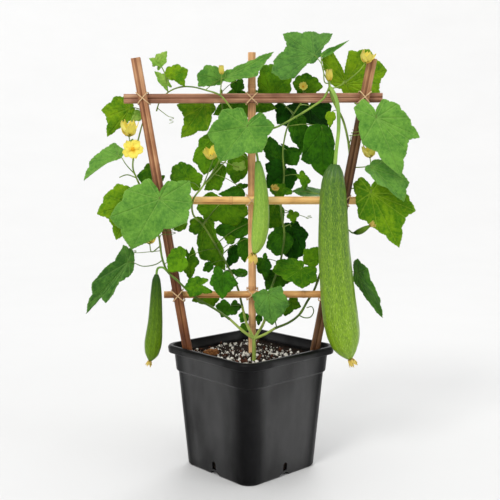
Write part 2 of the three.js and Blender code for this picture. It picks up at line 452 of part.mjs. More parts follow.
// Flowers: end of the stalk, the way it opens, reach of the petals, and how deep the cup is
const FLOWERS = {
  flower_left_upper: { at: [-232, -20, 650], along: [0.05, -0.25, 1], reach: 26, cup: 1 },
  flower_left_open: { at: [-223, -34, 624], along: [0.05, -1, 0.4], reach: 22, cup: 0.25 },
  flower_left_low: { at: [-193, -38, 446], along: [0, -0.1, 1], reach: 22, cup: 0.9 },
  flower_middle: { at: [-71, -20, 608], along: [-0.3, -0.5, 0.85], reach: 23, cup: 0.8 },
  flower_top_small: { at: [100, -4, 744], along: [0, -1, 0.3], reach: 10, cup: 0.5 },
  flower_right_top: { at: [215, -28, 786], along: [0.25, -0.3, 1], reach: 20, cup: 1 },
  flower_right: { at: [227, -24, 610], along: [-0.15, -0.4, 1], reach: 21, cup: 1 },
  flower_dried: { at: [46, 12, 548], along: [0.2, -0.6, 0.6], reach: 10, cup: 0.5 },
};
const BUDS = {
  bud_top_left: { at: [-55, -26, 765], along: [0, 0, 1], length: 15, radius: 4.2 },
  bud_top_right: { at: [149, -14, 754], along: [0, -0.1, 1], length: 20, radius: 6 },
};
const PETALS = 5;
const PETAL = 0.9;
const PETAL_BORDER = [[16, 1], [36, 0.58], [56, 1]];
const PETAL_FOLD = 0.45;
const CUP_NARROWING = 0.35;
const CUP_CURVE = 1.3;
const WITHERED_CUP = 1.1;
const SMALL_FLOWER = 17;
const BUD_SHAPE = [[0, 0.35], [0.3, 0.9], [0.6, 1], [0.85, 0.6], [1, 0.15]];

// Photo colours and finishes
const MATERIALS = {
  pot: { color: 0x2f3032, roughness: 0.6, metalness: 0 },
  soil: { color: 0x2c1f17, roughness: 0.95, metalness: 0 },
  slat: { color: 0x9c6f52, roughness: 0.7, metalness: 0 },
  bamboo: { color: 0xdba873, roughness: 0.55, metalness: 0 },
  twine: { color: 0xe6c99c, roughness: 0.9, metalness: 0 },
  foliage: { color: 0x5c9d3a, roughness: 0.55, metalness: 0 },
  fruit: { color: 0x6f9a3c, roughness: 0.45, metalness: 0 },
  flower: { color: 0xffdf3a, roughness: 0.6, metalness: 0 },
};

// Basic shapes

function vec([x, y, z]) {
  return new THREE.Vector3(x, y, z);
}

// A closed set of faces as a solid, turned so that the faces point out
function solidFrom(points, faces) {
  const geometry = new THREE.BufferGeometry().setFromPoints(points);
  geometry.setIndex(faces);
  const merged = mergeVertices(geometry, 1e-4);
  const place = merged.getAttribute('position');
  const index = Array.from(merged.getIndex().array);
  const [a, b, c] = [new THREE.Vector3(), new THREE.Vector3(), new THREE.Vector3()];
  let volume = 0;
  for (let i = 0; i < index.length; i += 3) {
    a.fromBufferAttribute(place, index[i]);
    b.fromBufferAttribute(place, index[i + 1]);
    c.fromBufferAttribute(place, index[i + 2]);
    volume += a.dot(b.cross(c));
  }
  const triVerts = Uint32Array.from(volume < 0 ? index.reverse() : index);
  const vertProperties = Float32Array.from(place.array);
  return new wasm.Manifold(new wasm.Mesh({ numProp: 3, vertProperties, triVerts }));
}

function solidOf(geometry) {
  const bare = geometry.clone();
  bare.deleteAttribute('normal');
  bare.deleteAttribute('uv');
  const merged = mergeVertices(bare, 1e-4);
  const points = [];
  for (let i = 0; i < merged.getAttribute('position').count; i += 1) {
    points.push(new THREE.Vector3().fromBufferAttribute(merged.getAttribute('position'), i));
  }
  return solidFrom(points, Array.from(merged.getIndex().array));
}

function join(solids) {
  return solids.reduce((whole, one) => whole.add(one));
}

// The largest connected body, which leaves out loose scraps of a cut
function mainBody(solid) {
  const bodies = solid.decompose();
  return bodies.reduce((best, one) => (one.volume() > best.volume() ? one : best));
}

// The solid's skin, without the sliver faces that joining leaves on it
function geometryOf(solid) {
  const mesh = solid.simplify(SLIVER).getMesh();
  const geometry = new THREE.BufferGeometry();
  const corners = new THREE.BufferAttribute(new Float32Array(mesh.vertProperties), mesh.numProp);
  geometry.setAttribute('position', corners);
  geometry.setIndex(Array.from(mesh.triVerts));
  return geometry;
}

function centreOf(ring) {
  const sum = ring.reduce((total, point) => total.add(point), new THREE.Vector3());
  return sum.divideScalar(ring.length);
}

// Skins a row of rings with the same number of points; the ends get flat fans unless the row is a loop
function loft(rings, loop = false) {
  const sides = rings[0].length;
  const points = rings.flat();
  const faces = [];
  const spans = loop ? rings.length : rings.length - 1;
  for (let i = 0; i < spans; i += 1) {
    const low = i * sides;
    const high = ((i + 1) % rings.length) * sides;
    for (let j = 0; j < sides; j += 1) {
      const next = (j + 1) % sides;
      faces.push(low + j, low + next, high + next, low + j, high + next, high + j);
    }
  }
  if (!loop) {
    const first = points.push(centreOf(rings[0])) - 1;
    const last = points.push(centreOf(rings[rings.length - 1])) - 1;
    const top = (rings.length - 1) * sides;
    for (let j = 0; j < sides; j += 1) {
      const next = (j + 1) % sides;
      faces.push(first, next, j, last, top + j, top + next);
    }
  }
  return solidFrom(points, faces);
}

function ringAround(centre, across, up, radius, sides) {
  const ring = [];
  for (let j = 0; j < sides; j += 1) {
    const angle = (j / sides) * 2 * Math.PI;
    const point = centre.clone().addScaledVector(across, radius * Math.cos(angle));
    ring.push(point.addScaledVector(up, radius * Math.sin(angle)));
  }
  return ring;
}

function curveThrough(points) {
  return new THREE.CatmullRomCurve3(points.map(vec), false, 'centripetal');
}

// A round stem that thins from its first radius to its second
function tube(curve, [startRadius, endRadius], sides, step) {
  const count = Math.max(2, Math.ceil(curve.getLength() / step));
  const { normals, binormals } = curve.computeFrenetFrames(count);
  const rings = [];
  for (let i = 0; i <= count; i += 1) {
    const radius = THREE.MathUtils.lerp(startRadius, endRadius, i / count);
    rings.push(ringAround(curve.getPointAt(i / count), normals[i], binormals[i], radius, sides));
  }
  return loft(rings);
}

// Faces and border of a sheet whose points are its middle and then one or two rings round it
function sheetOf(count, rings) {
  const faces = [];
  for (let j = 0; j < count; j += 1) {
    const next = (j + 1) % count;
    faces.push(0, 1 + j, 1 + next);
    if (rings > 1) {
      faces.push(1 + j, 1 + count + j, 1 + count + next, 1 + j, 1 + count + next, 1 + next);
    }
  }
  const rim = Array.from({ length: count }, (_, j) => 1 + (rings - 1) * count + j);
  return { faces, rim };
}

// Gives a sheet of points and faces an even thickness; rim lists the border points in order
function thicken(points, faces, rim, thickness) {
  const sheet = new THREE.BufferGeometry().setFromPoints(points);
  sheet.setIndex(faces);
  sheet.computeVertexNormals();
  const normals = sheet.getAttribute('normal');
  const away = points.map((_, i) => new THREE.Vector3().fromBufferAttribute(normals, i));
  const front = points.map((point, i) => point.clone().addScaledVector(away[i], thickness / 2));
  const back = points.map((point, i) => point.clone().addScaledVector(away[i], -thickness / 2));
  const offset = points.length;
  const skin = [...faces];
  for (let i = 0; i < faces.length; i += 3) {
    skin.push(faces[i] + offset, faces[i + 2] + offset, faces[i + 1] + offset);
  }
  rim.forEach((here, i) => {
    const next = rim[(i + 1) % rim.length];
    skin.push(here, here + offset, next + offset, here, next + offset, next);
  });
  return solidFrom([...front, ...back], skin);
}

// Seeded random numbers from 0 to 1
function randomSource(seed) {
  let state = seed;
  return () => {
    state = (state * 1664525 + 1013904223) % 4294967296;
    return state / 4294967296;
  };
}

// Pot and soil

function roundedSquare(half, corner, z, scale = 1) {
  const ring = [];
  for (let side = 0; side < 4; side += 1) {
    for (let step = 0; step < POT_CORNER_STEPS; step += 1) {
      const turn = (side + step / (POT_CORNER_STEPS - 1)) * (Math.PI / 2);
      const middle = new THREE.Vector2(half - corner, half - corner);
      middle.rotateAround(new THREE.Vector2(), side * (Math.PI / 2));
      const x = (middle.x + corner * Math.cos(turn)) * scale;
      const y = (middle.y + corner * Math.sin(turn)) * scale;
      ring.push(new THREE.Vector3(x, y, z).applyAxisAngle(new THREE.Vector3(0, 0, 1), POT_YAW));
    }
  }
  return ring;
}

function insideHalf(z) {
  for (let i = 1; i < POT_INSIDE.length; i += 1) {
    const [highHalf, highCorner, highZ] = POT_INSIDE[i - 1];
    const [lowHalf, lowCorner, lowZ] = POT_INSIDE[i];
    if (z >= lowZ) {
      const share = (z - lowZ) / (highZ - lowZ);
      return [lowHalf + share * (highHalf - lowHalf), lowCorner + share * (highCorner - lowCorner)];
    }
  }
  return POT_INSIDE[POT_INSIDE.length - 1];
}

// A box against the middle of one side of the pot, from an outer distance inwards
function sideBox(side, outer, depth, width, low, high) {
  const box = new THREE.BoxGeometry(depth, width, high - low);
  box.translate(outer - depth / 2, 0, (low + high) / 2);
  box.rotateZ(POT_YAW + side * (Math.PI / 2));
  return solidOf(box);
}

function makePot() {
  const shell = [...POT_OUTSIDE, ...POT_INSIDE].map(([half, corner, z]) => roundedSquare(half, corner, z));
  let pot = loft(shell);
  for (let side = 0; side < 4; side += 1) {
    const base = POT_OUTSIDE[0][0];
    const alcoveDepth = DRAIN.notchDepth + DRAIN.wall;
    const alcoveWidth = DRAIN.notchWidth + 2 * DRAIN.wall;
    const alcoveTop = DRAIN.notchHeight + DRAIN.wall;
    const alcove = sideBox(side, base, alcoveDepth, alcoveWidth, 0, alcoveTop);
    const notchReach = DRAIN.notchDepth + CUT_REACH;
    const notchTop = DRAIN.notchHeight;
    const notch = sideBox(side, base + CUT_REACH, notchReach, DRAIN.notchWidth, -CUT_REACH, notchTop);
    const hole = sideBox(side, base + CUT_REACH, 2 * CUT_REACH, DRAIN.width, DRAIN.low, DRAIN.high);
    pot = pot.add(alcove).subtract(notch).subtract(hole);
  }
  return mainBody(pot);
}

function soilHeight(x, y) {
  const swell = SWELL.height * Math.sin(x / SWELL.lengthX + 0.6) * Math.cos(y / SWELL.lengthY);
  const ripple = RIPPLE.height * Math.sin(x / RIPPLE.lengthX) * Math.sin(y / RIPPLE.lengthY + 1);
  return SOIL_LEVEL + swell + ripple;
}

function soilTop(half, corner) {
  return SOIL_RINGS.map((scale) => roundedSquare(half, corner, 0, scale).map(({ x, y }) => (
    new THREE.Vector3(x, y, soilHeight(x, y))
  )));
}

function makeSoil(holes) {
  const random = randomSource(SOIL_SEED);
  const bottom = POT_FLOOR + DRAIN.notchHeight + DRAIN.wall;
  const levels = [bottom, POT_INSIDE[3][2], POT_INSIDE[2][2]];
  const walls = levels.map((z) => {
    const [half, corner] = insideHalf(z);
    return roundedSquare(half - GAP, corner, z);
  });
  const [topHalf, topCorner] = insideHalf(SOIL_LEVEL - SOIL_EDGE_DROP);
  let soil = loft([...walls, ...soilTop(topHalf - 2 * GAP, topCorner)]);
  const reach = topHalf - SOIL_MARGIN;
  const place = () => {
    const spot = new THREE.Vector3((random() * 2 - 1) * reach, (random() * 2 - 1) * reach, 0);
    spot.applyAxisAngle(new THREE.Vector3(0, 0, 1), POT_YAW);
    return spot.setZ(soilHeight(spot.x, spot.y));
  };
  for (let i = 0; i < GRAIN.count; i += 1) {
    const grain = new THREE.OctahedronGeometry(GRAIN.small + random() * (GRAIN.large - GRAIN.small));
    grain.rotateX(random() * Math.PI).rotateY(random() * Math.PI);
    const spot = place();
    soil = soil.add(solidOf(grain.translate(spot.x, spot.y, spot.z)));
  }
  for (let i = 0; i < CHIP.count; i += 1) {
    const chip = new THREE.BoxGeometry(CHIP.length, CHIP.width, CHIP.thickness);
    chip.rotateX((random() - 0.5) * CHIP.tilt).rotateY((random() - 0.5) * CHIP.tilt);
    chip.rotateZ(random() * Math.PI);
    const spot = place();
    soil = soil.add(solidOf(chip.translate(spot.x, spot.y, spot.z)));
  }
  const clod = new THREE.IcosahedronGeometry(CLOD.radius, 0);
  clod.scale(CLOD.spread, 1, CLOD.flatness);
  clod.translate(CLOD.at[0], CLOD.at[1], soilHeight(...CLOD.at));
  soil = soil.add(solidOf(clod));
  return mainBody(holes.reduce((rest, hole) => rest.subtract(hole), soil));
}

// Trellis

// Outline of a split-bamboo slat: a rounded bar with a shallow groove along the middle of its face
function slatOutline(extra) {
  const half = SLAT_WIDTH / 2 + extra;
  const depth = SLAT_DEPTH / 2 + extra;
  const flatHalf = half - SLAT_ROUND;
  const flatDepth = depth - SLAT_ROUND;
  const groove = SLAT_GROOVE.half;
  return [
    [half, flatDepth], [flatHalf, depth], [-flatHalf, depth], [-half, flatDepth], [-half, -flatDepth],
    [-flatHalf, -depth], [-groove, -depth], [0, -depth + SLAT_GROOVE.depth], [groove, -depth],
    [flatHalf, -depth], [half, -flatDepth],
  ];
}

function roundOutline(radius) {
  const outline = [];
  for (let j = 0; j < CULM_SIDES; j += 1) {
    const angle = ((j + 0.5) / CULM_SIDES) * 2 * Math.PI;
    outline.push([radius * Math.cos(angle), radius * Math.sin(angle)]);
  }
  return outline;
}

// Places along a culm, as a share of its length, with the swell of the knots
function culmStations(curve, knots) {
  const length = curve.getLength();
  const stations = [[0, 1], [1, 1]];
  const bends = curve.points.length - 1;
  for (let i = 1; i < bends; i += 1) {
    stations.push([i / bends, 1]);
  }
  for (const knot of knots) {
    const { reach, half, swell } = KNOT;
    stations.push([knot - reach / length, 1], [knot - half / length, swell]);
    stations.push([knot + half / length, swell], [knot + reach / length, 1]);
  }
  return stations.sort((a, b) => a[0] - b[0]);
}

function makeCane({ path, slat = false, radius = 0, knots = [] }, extra = 0) {
  const curve = curveThrough(path);
  const outline = slat ? slatOutline(extra) : roundOutline(radius + extra);
  const lengthwise = curve.getPointAt(1).sub(curve.getPointAt(0)).normalize();
  const depthwise = new THREE.Vector3(0, 1, 0);
  const crosswise = depthwise.clone().cross(lengthwise).normalize();
  const rings = culmStations(curve, knots).map(([share, swell]) => {
    const centre = curve.getPointAt(share);
    return outline.map(([x, y]) => (
      centre.clone().addScaledVector(crosswise, x * swell).addScaledVector(depthwise, y * swell)
    ));
  });
  return loft(rings);
}

// One closed loop of twine round both canes, in the upright plane through a slanting line
function twineLoop({ at, lean, front, back }, slant) {
  const along = new THREE.Vector3(Math.cos(slant), 0, Math.sin(slant));
  const toUpright = Math.abs(Math.sin(slant - (Math.PI / 2 + lean * DEGREE)));
  const toBar = Math.abs(Math.sin(slant));
  const half = SLAT_WIDTH / 2 / Math.min(toUpright, toBar) + TWINE_ROOM;
  const near = front - TWINE_SEAT;
  const far = back + TWINE_SEAT;
  const corners = [[half, near], [half, far], [-half, far], [-half, near]];
  const centre = new THREE.Vector3(at[0], 0, at[1]);
  const spots = corners.map(([s, y]) => centre.clone().addScaledVector(along, s).setY(y));
  const across = along.clone().cross(new THREE.Vector3(0, 1, 0));
  const rings = spots.map((spot, i) => {
    const before = spots[(i + spots.length - 1) % spots.length];
    const after = spots[(i + 1) % spots.length];
    const outward = after.clone().sub(before).normalize().cross(across).multiplyScalar(TWINE_MITRE);
    return ringAround(spot, outward, across, TWINE_RADIUS, 3);
  });
  return loft(rings, true);
}

function makeLashing(lashing) {
  const slant = Math.PI / 4 + (lashing.lean * DEGREE) / 2;
  return mainBody(twineLoop(lashing, slant).add(twineLoop(lashing, slant + Math.PI / 2)));
}

// Leaves, stalks and tendrils

// The deepest point of the border between two lobes, as angle and reach
function notchBetween(lobe, next) {
  const ends = [lobe, next].map(([angle, reach]) => {
    return new THREE.Vector2(reach, 0).rotateAround(new THREE.Vector2(), angle * DEGREE);
  });
  const [near, far] = ends.sort((one, other) => one.length() - other.length());
  const spot = near.clone().lerp(far, 1 - NOTCH_SHARE);
  const reach = Math.max(SINUS_REACH, spot.length() - NOTCH_DEPTH * near.distanceTo(far));
  const angle = Math.atan2(spot.y, spot.x) / DEGREE;
  const turns = Math.round(((lobe[0] + next[0]) / 2 - angle) / 360);
  return [angle + 360 * turns, reach];
}

// The point of the border between an outer lobe and the gap at the stalk, near the lobe in a narrow gap
function shoulderOf([angle, reach], gap) {
  const turn = (gap - angle) * Math.min(SHOULDER, (2 * Math.abs(gap - angle)) / WIDE_GAP);
  const fall = LOBE_DEPTH * (Math.abs(turn) / LOBE_SPAN) ** LOBE_POWER;
  return [angle + turn, Math.max(SINUS_REACH, reach * (1 - fall))];
}

// The angle of the gap between the two lowest lobes, where the stalk comes in
function stalkGap(lobes) {
  return (lobes[0][0] + 360 + lobes[lobes.length - 1][0]) / 2;
}

function lobesOf(leaf) {
  const small = vec(leaf.tip).distanceTo(vec(leaf.at)) < SMALL_LEAF;
  return leaf.lobes ?? (small ? SMALL_LOBES : LOBES);
}

// Border of a leaf as angle and reach: lobe tips, the notches between them and the gap at the stalk
function bladeOutline(lobes) {
  const outline = [];
  lobes.forEach((lobe, i) => {
    outline.push(lobe);
    if (i + 1 < lobes.length) {
      outline.push(notchBetween(lobe, lobes[i + 1]));
    }
  });
  const gap = stalkGap(lobes);
  const first = [lobes[0][0] + 360, lobes[0][1]];
  outline.push(shoulderOf(lobes[lobes.length - 1], gap), [gap, SINUS_REACH], shoulderOf(first, gap));
  return outline;
}

function leafFrame({ at, tip, face }) {
  const foot = vec(at);
  const axis = vec(tip).sub(foot);
  const length = axis.length();
  axis.normalize();
  const azimuth = face[0] * DEGREE;
  const elevation = face[1] * DEGREE;
  const level = Math.cos(elevation);
  const look = new THREE.Vector3(Math.sin(azimuth) * level, -Math.cos(azimuth) * level, Math.sin(elevation));
  const normal = look.addScaledVector(axis, -look.dot(axis)).normalize();
  return { foot, axis, length, normal, side: normal.clone().cross(axis) };
}

// A point of the blade at an angle from the middle lobe and a reach, with fold, arch and wave
function bladePoint(frame, { at, wide, fold, bend }, angle, reach) {
  const turn = angle * DEGREE;
  const along = Math.cos(turn) * reach;
  const half = Math.sin(turn) < 0 ? wide[0] : wide[1];
  const across = Math.sin(turn) * reach * half;
  const wave = WAVE.height * reach * Math.sin(WAVE.waves * turn + at[0]);
  const raised = fold * (Math.hypot(across, SOFT_FOLD) - SOFT_FOLD) + bend * along * (1 - along) + wave;
  const point = frame.foot.clone().addScaledVector(frame.axis, along * frame.length);
  point.addScaledVector(frame.side, (across / Math.hypot(1, fold)) * frame.length);
  return point.addScaledVector(frame.normal, raised * frame.length);
}

function makeLeaf(leaf) {
  const frame = leafFrame(leaf);
  const outline = bladeOutline(lobesOf(leaf));
  const shares = frame.length > BIG_LEAF ? [INNER_RING, 1] : [1];
  const points = [frame.foot.clone()];
  for (const share of shares) {
    outline.forEach(([angle, reach]) => points.push(bladePoint(frame, leaf, angle, reach * share)));
  }
  const { faces, rim } = sheetOf(outline.length, shares.length);
  return thicken(points, faces, rim, BLADE);
}

function nearestOn(curve, target) {
  const samples = curve.getSpacedPoints(90);
  const cost = (point) => point.distanceTo(target) + UPHILL_COST * Math.max(0, point.z - target.z);
  return samples.reduce((best, point) => (cost(point) < cost(best) ? point : best));
}

// The stalk of a leaf, or nothing where the blade sits on the end of a runner
function makeLeafStalk(curves, leaf) {
  const end = bladePoint(leafFrame(leaf), leaf, stalkGap(lobesOf(leaf)), LEAF_STALK.end);
  const goal = leaf.from ? vec(leaf.from) : end;
  const starts = curves.map((curve) => nearestOn(curve, goal));
  const nearer = (one, other) => (other.distanceTo(goal) < one.distanceTo(goal) ? other : one);
  const start = starts.reduce(nearer);
  if (start.distanceTo(end) < SESSILE) {
    return [];
  }
  const rise = start.distanceTo(end) * LEAF_STALK.arch;
  const middle = start.clone().lerp(end, 0.5).add(new THREE.Vector3(0, 0, rise));
  const way = leaf.via ? leaf.via.map(vec) : [middle];
  const curve = new THREE.CatmullRomCurve3([start, ...way, end], false, 'centripetal');
  return [tube(curve, LEAF_STALK.radius, 3, STALK_STEP)];
}

// A tendril: a short lead from the runner, then a coil that tightens or turns round an upright
function makeTendril({ start, centre, radius, rise, turns, from, lean = 0 }) {
  const stepsPerTurn = TENDRIL_TURN_STEPS;
  const steps = Math.round(turns * stepsPerTurn);
  const points = [start];
  for (let i = 0; i <= steps; i += 1) {
    const angle = from * DEGREE + (i / stepsPerTurn) * 2 * Math.PI;
    const reach = THREE.MathUtils.lerp(radius[0], radius[1], Math.min(1, i / stepsPerTurn));
    const climb = rise * (i / stepsPerTurn);
    const x = centre[0] + lean * climb + reach * Math.cos(angle);
    points.push([x, centre[1] + reach * Math.sin(angle), centre[2] + climb]);
  }
  return tube(curveThrough(points), TENDRIL_RADIUS, 3, TENDRIL_STEP);
}

function widened(radii, extra) {
  return radii.map((radius) => radius + extra);
}

function runnerBody({ path, radius, stalks }, extra) {
  const main = tube(curveThrough(path), widened(radius, extra), 5, RUNNER_STEP);
  const sideRadius = widened(FLOWER_STALK_RADIUS, extra);
  return join([main, ...stalks.map((points) => tube(curveThrough(points), sideRadius, 4, RUNNER_STEP))]);
}

function makeRunner(runner) {
  const curves = [curveThrough(runner.path), ...runner.stalks.map(curveThrough)];
  const leaves = runner.leaves.flatMap((leaf) => [...makeLeafStalk(curves, leaf), makeLeaf(leaf)]);
  const tendrils = runner.tendrils.map(makeTendril);
  return join([runnerBody(runner, 0), ...leaves, ...tendrils]);
}

function makeStem(extra) {
  const trunk = tube(curveThrough(STEM.trunk), widened(TRUNK_RADIUS, extra), 7, TRUNK_STEP);
  const branches = ['left', 'middle', 'centre', 'right'].map((name) => (
    tube(curveThrough(STEM[name]), widened(BRANCH_RADIUS, extra), 5, BRANCH_STEP)
  ));
  return join([trunk, ...branches]);
}

// Fruits and flowers

function makeFruit({ path, radii, sides, ribs, stalk, stalkRadius }) {
  const curve = curveThrough(path);
  const last = path.length - 1;
  const rings = path.map((_, i) => {
    const tangent = curve.getTangent(i / last);
    const across = new THREE.Vector3(0, 1, 0).cross(tangent).normalize();
    const up = tangent.clone().cross(across);
    const centre = curve.getPoint(i / last);
    return ringAround(centre, across, up, 1, sides).map((point, j) => {
      const rib = j % 2 === 0 ? 1 + ribs : 1 - ribs;
      return point.sub(centre).multiplyScalar(radii[i] * rib).add(centre);
    });
  });
  return loft(rings).add(tube(curveThrough([...stalk, path[1]]), stalkRadius, 5, FRUIT_STALK_STEP));
}

// A five-petalled flower as one thin cup with a notched border
function makeFlower({ at, along, reach, cup }) {
  const axis = vec(along).normalize();
  const side = new THREE.Vector3(1, 0.3, 0.1).cross(axis).normalize();
  const up = axis.clone().cross(side);
  const foot = vec(at).addScaledVector(axis, 1.5 * GAP + PETAL / 2);
  const outline = [];
  for (let petal = 0; petal < PETALS; petal += 1) {
    PETAL_BORDER.forEach(([angle, share]) => outline.push([(petal * 360) / PETALS + angle, share]));
  }
  const point = (angle, share) => {
    const turn = angle * DEGREE;
    const spread = reach * share * (1 - CUP_NARROWING * cup * share);
    const spot = foot.clone().addScaledVector(side, spread * Math.cos(turn));
    spot.addScaledVector(up, spread * Math.sin(turn));
    return spot.addScaledVector(axis, reach * cup * share ** CUP_CURVE);
  };
  const shares = reach < SMALL_FLOWER ? [1] : [PETAL_FOLD, 1];
  const points = [foot.clone()];
  for (const inner of shares) {
    outline.forEach(([angle, share]) => points.push(point(angle, share * inner)));
  }
  const { faces, rim } = sheetOf(outline.length, shares.length);
  return thicken(points, faces, rim, PETAL);
}

function makeBud({ at, along, length, radius }) {
  const axis = vec(along).normalize();
  const start = vec(at).addScaledVector(axis, 2 * GAP);
  const side = new THREE.Vector3(1, 0, 0).cross(axis).normalize();
  const up = axis.clone().cross(side);
  return loft(BUD_SHAPE.map(([share, wide]) => (
    ringAround(start.clone().addScaledVector(axis, share * length), side, up, radius * wide, 6)
  )));
}

// Withered flower at a fruit's end, which starts just past the fruit's last ring
function makeWithered({ path, bloom }) {
  const end = vec(path[path.length - 1]);
  const along = vec(bloom.tip).sub(end);
  const flower = { at: end.toArray(), along: along.toArray(), reach: bloom.reach, cup: WITHERED_CUP };
  return makeFlower(flower);
}

// Assembly

const group = new THREE.Group();
group.name = 'potted_luffa';

function addPart(name, solid, look) {
  const mesh = new THREE.Mesh(geometryOf(solid), new THREE.MeshStandardMaterial(MATERIALS[look]));
  mesh.name = name;
  group.add(mesh);
}

function caneLook(name) {
  return CANES[name].slat ? 'slat' : 'bamboo';
}

addPart('pot', makePot(), 'pot');
const canes = Object.entries(CANES);
const buried = ['cane_left', 'cane_right', 'cane_centre'].map((name) => makeCane(CANES[name], GAP));
addPart('soil', makeSoil([...buried, makeStem(GAP)]), 'soil');
canes.forEach(([name, cane]) => addPart(name, makeCane(cane), caneLook(name)));
Object.entries(LASHINGS).forEach(([name, lashing]) => addPart(name, makeLashing(lashing), 'twine'));

addPart('stem_main', makeStem(0), 'foliage');
const runners = Object.entries(RUNNERS);
const fat = Object.fromEntries(runners.map(([name, runner]) => [name, runnerBody(runner, GAP)]));
const stemRoom = makeStem(GAP);
const runnerCuts = { vine_middle: [fat.vine_arch], vine_arch: [fat.vine_right] };
runners.forEach(([name, runner]) => {
  const cuts = [stemRoom, ...(runnerCuts[name] ?? [])];
  addPart(name, mainBody(cuts.reduce((rest, cut) => rest.subtract(cut), makeRunner(runner))), 'foliage');
});
Object.entries(FRUITS).forEach(([name, fruit]) => {
  const cut = fruit.runners.reduce((rest, runner) => rest.subtract(fat[runner]), makeFruit(fruit));
  addPart(name, mainBody(cut), 'fruit');
  addPart(`${name}_flower`, makeWithered(fruit), 'flower');
});
Object.entries(FLOWERS).forEach(([name, flower]) => addPart(name, makeFlower(flower), 'flower'));
Object.entries(BUDS).forEach(([name, bud]) => addPart(name, makeBud(bud), 'flower'));

export default group;
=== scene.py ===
"""Looks of a potted luffa: pot, soil, lashed cane trellis, and the vine with its fruits and flowers.

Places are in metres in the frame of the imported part: the origin is the middle of the pot's
underside, +Z is up, and the trellis stands in the XZ plane with its front towards -Y. Routes and
leaf places are listed in millimetres, as they were measured, and MM turns them into metres.
"""

import functools
import json
import logging
import math
from dataclasses import dataclass
from enum import Enum
from typing import Iterable, Optional, Sequence

import bpy
import numpy as np
from bpy.types import Collection, Material, Mesh, Node, NodeSocket, NodeTree, Object
from mathutils import Matrix, Vector, noise

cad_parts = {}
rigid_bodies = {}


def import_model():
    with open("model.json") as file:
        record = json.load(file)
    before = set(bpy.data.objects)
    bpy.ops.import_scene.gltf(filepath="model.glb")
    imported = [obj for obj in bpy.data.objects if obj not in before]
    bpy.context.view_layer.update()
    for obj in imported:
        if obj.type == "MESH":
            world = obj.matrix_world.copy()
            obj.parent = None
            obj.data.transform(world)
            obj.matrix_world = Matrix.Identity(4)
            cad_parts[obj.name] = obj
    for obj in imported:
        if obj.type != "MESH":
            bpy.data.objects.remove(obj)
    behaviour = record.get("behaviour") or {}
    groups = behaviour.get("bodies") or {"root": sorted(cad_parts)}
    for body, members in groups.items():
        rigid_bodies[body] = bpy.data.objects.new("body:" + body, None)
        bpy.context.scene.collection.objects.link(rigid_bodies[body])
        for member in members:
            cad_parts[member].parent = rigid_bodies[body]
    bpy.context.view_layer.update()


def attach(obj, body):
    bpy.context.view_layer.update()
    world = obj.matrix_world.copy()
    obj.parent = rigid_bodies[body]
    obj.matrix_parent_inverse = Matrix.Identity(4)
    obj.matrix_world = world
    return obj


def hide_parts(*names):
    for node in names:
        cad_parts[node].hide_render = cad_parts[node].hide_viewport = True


LOG = logging.getLogger("potted_luffa")
MM = 0.001
BODY = "root"

Colour = tuple[int, int, int]
Triple = tuple[float, float, float]
Pair = tuple[float, float]
Array = np.ndarray


def linear(colour: Colour) -> tuple[float, float, float, float]:
    """Turns a display colour, each part from 0 to 255, into the linear one that a shader takes."""
    shares = (channel / 255 for channel in colour)
    return (*[s / 12.92 if s <= 0.04045 else ((s + 0.055) / 1.055) ** 2.4 for s in shares], 1.0)


# Node trees written as short formulas


class Term:
    """A number inside a node tree, which formulas are written with."""

    def __init__(self, plan: "Plan", socket: NodeSocket) -> None:
        """Keeps the number's output and the tree that it belongs to."""
        self.plan, self.socket = plan, socket

    def __add__(self, other: object) -> "Term":
        """The sum of two numbers."""
        return self.plan.math("ADD", self, other)

    def __sub__(self, other: object) -> "Term":
        """This number less another."""
        return self.plan.math("SUBTRACT", self, other)

    def __rsub__(self, other: object) -> "Term":
        """A plain number less this one."""
        return self.plan.math("SUBTRACT", other, self)

    def __mul__(self, other: object) -> "Term":
        """The product of two numbers."""
        return self.plan.math("MULTIPLY", self, other)

    def held(self) -> "Term":
        """The same number, held between 0 and 1 by the step that makes it."""
        self.socket.node.use_clamp = True
        return self


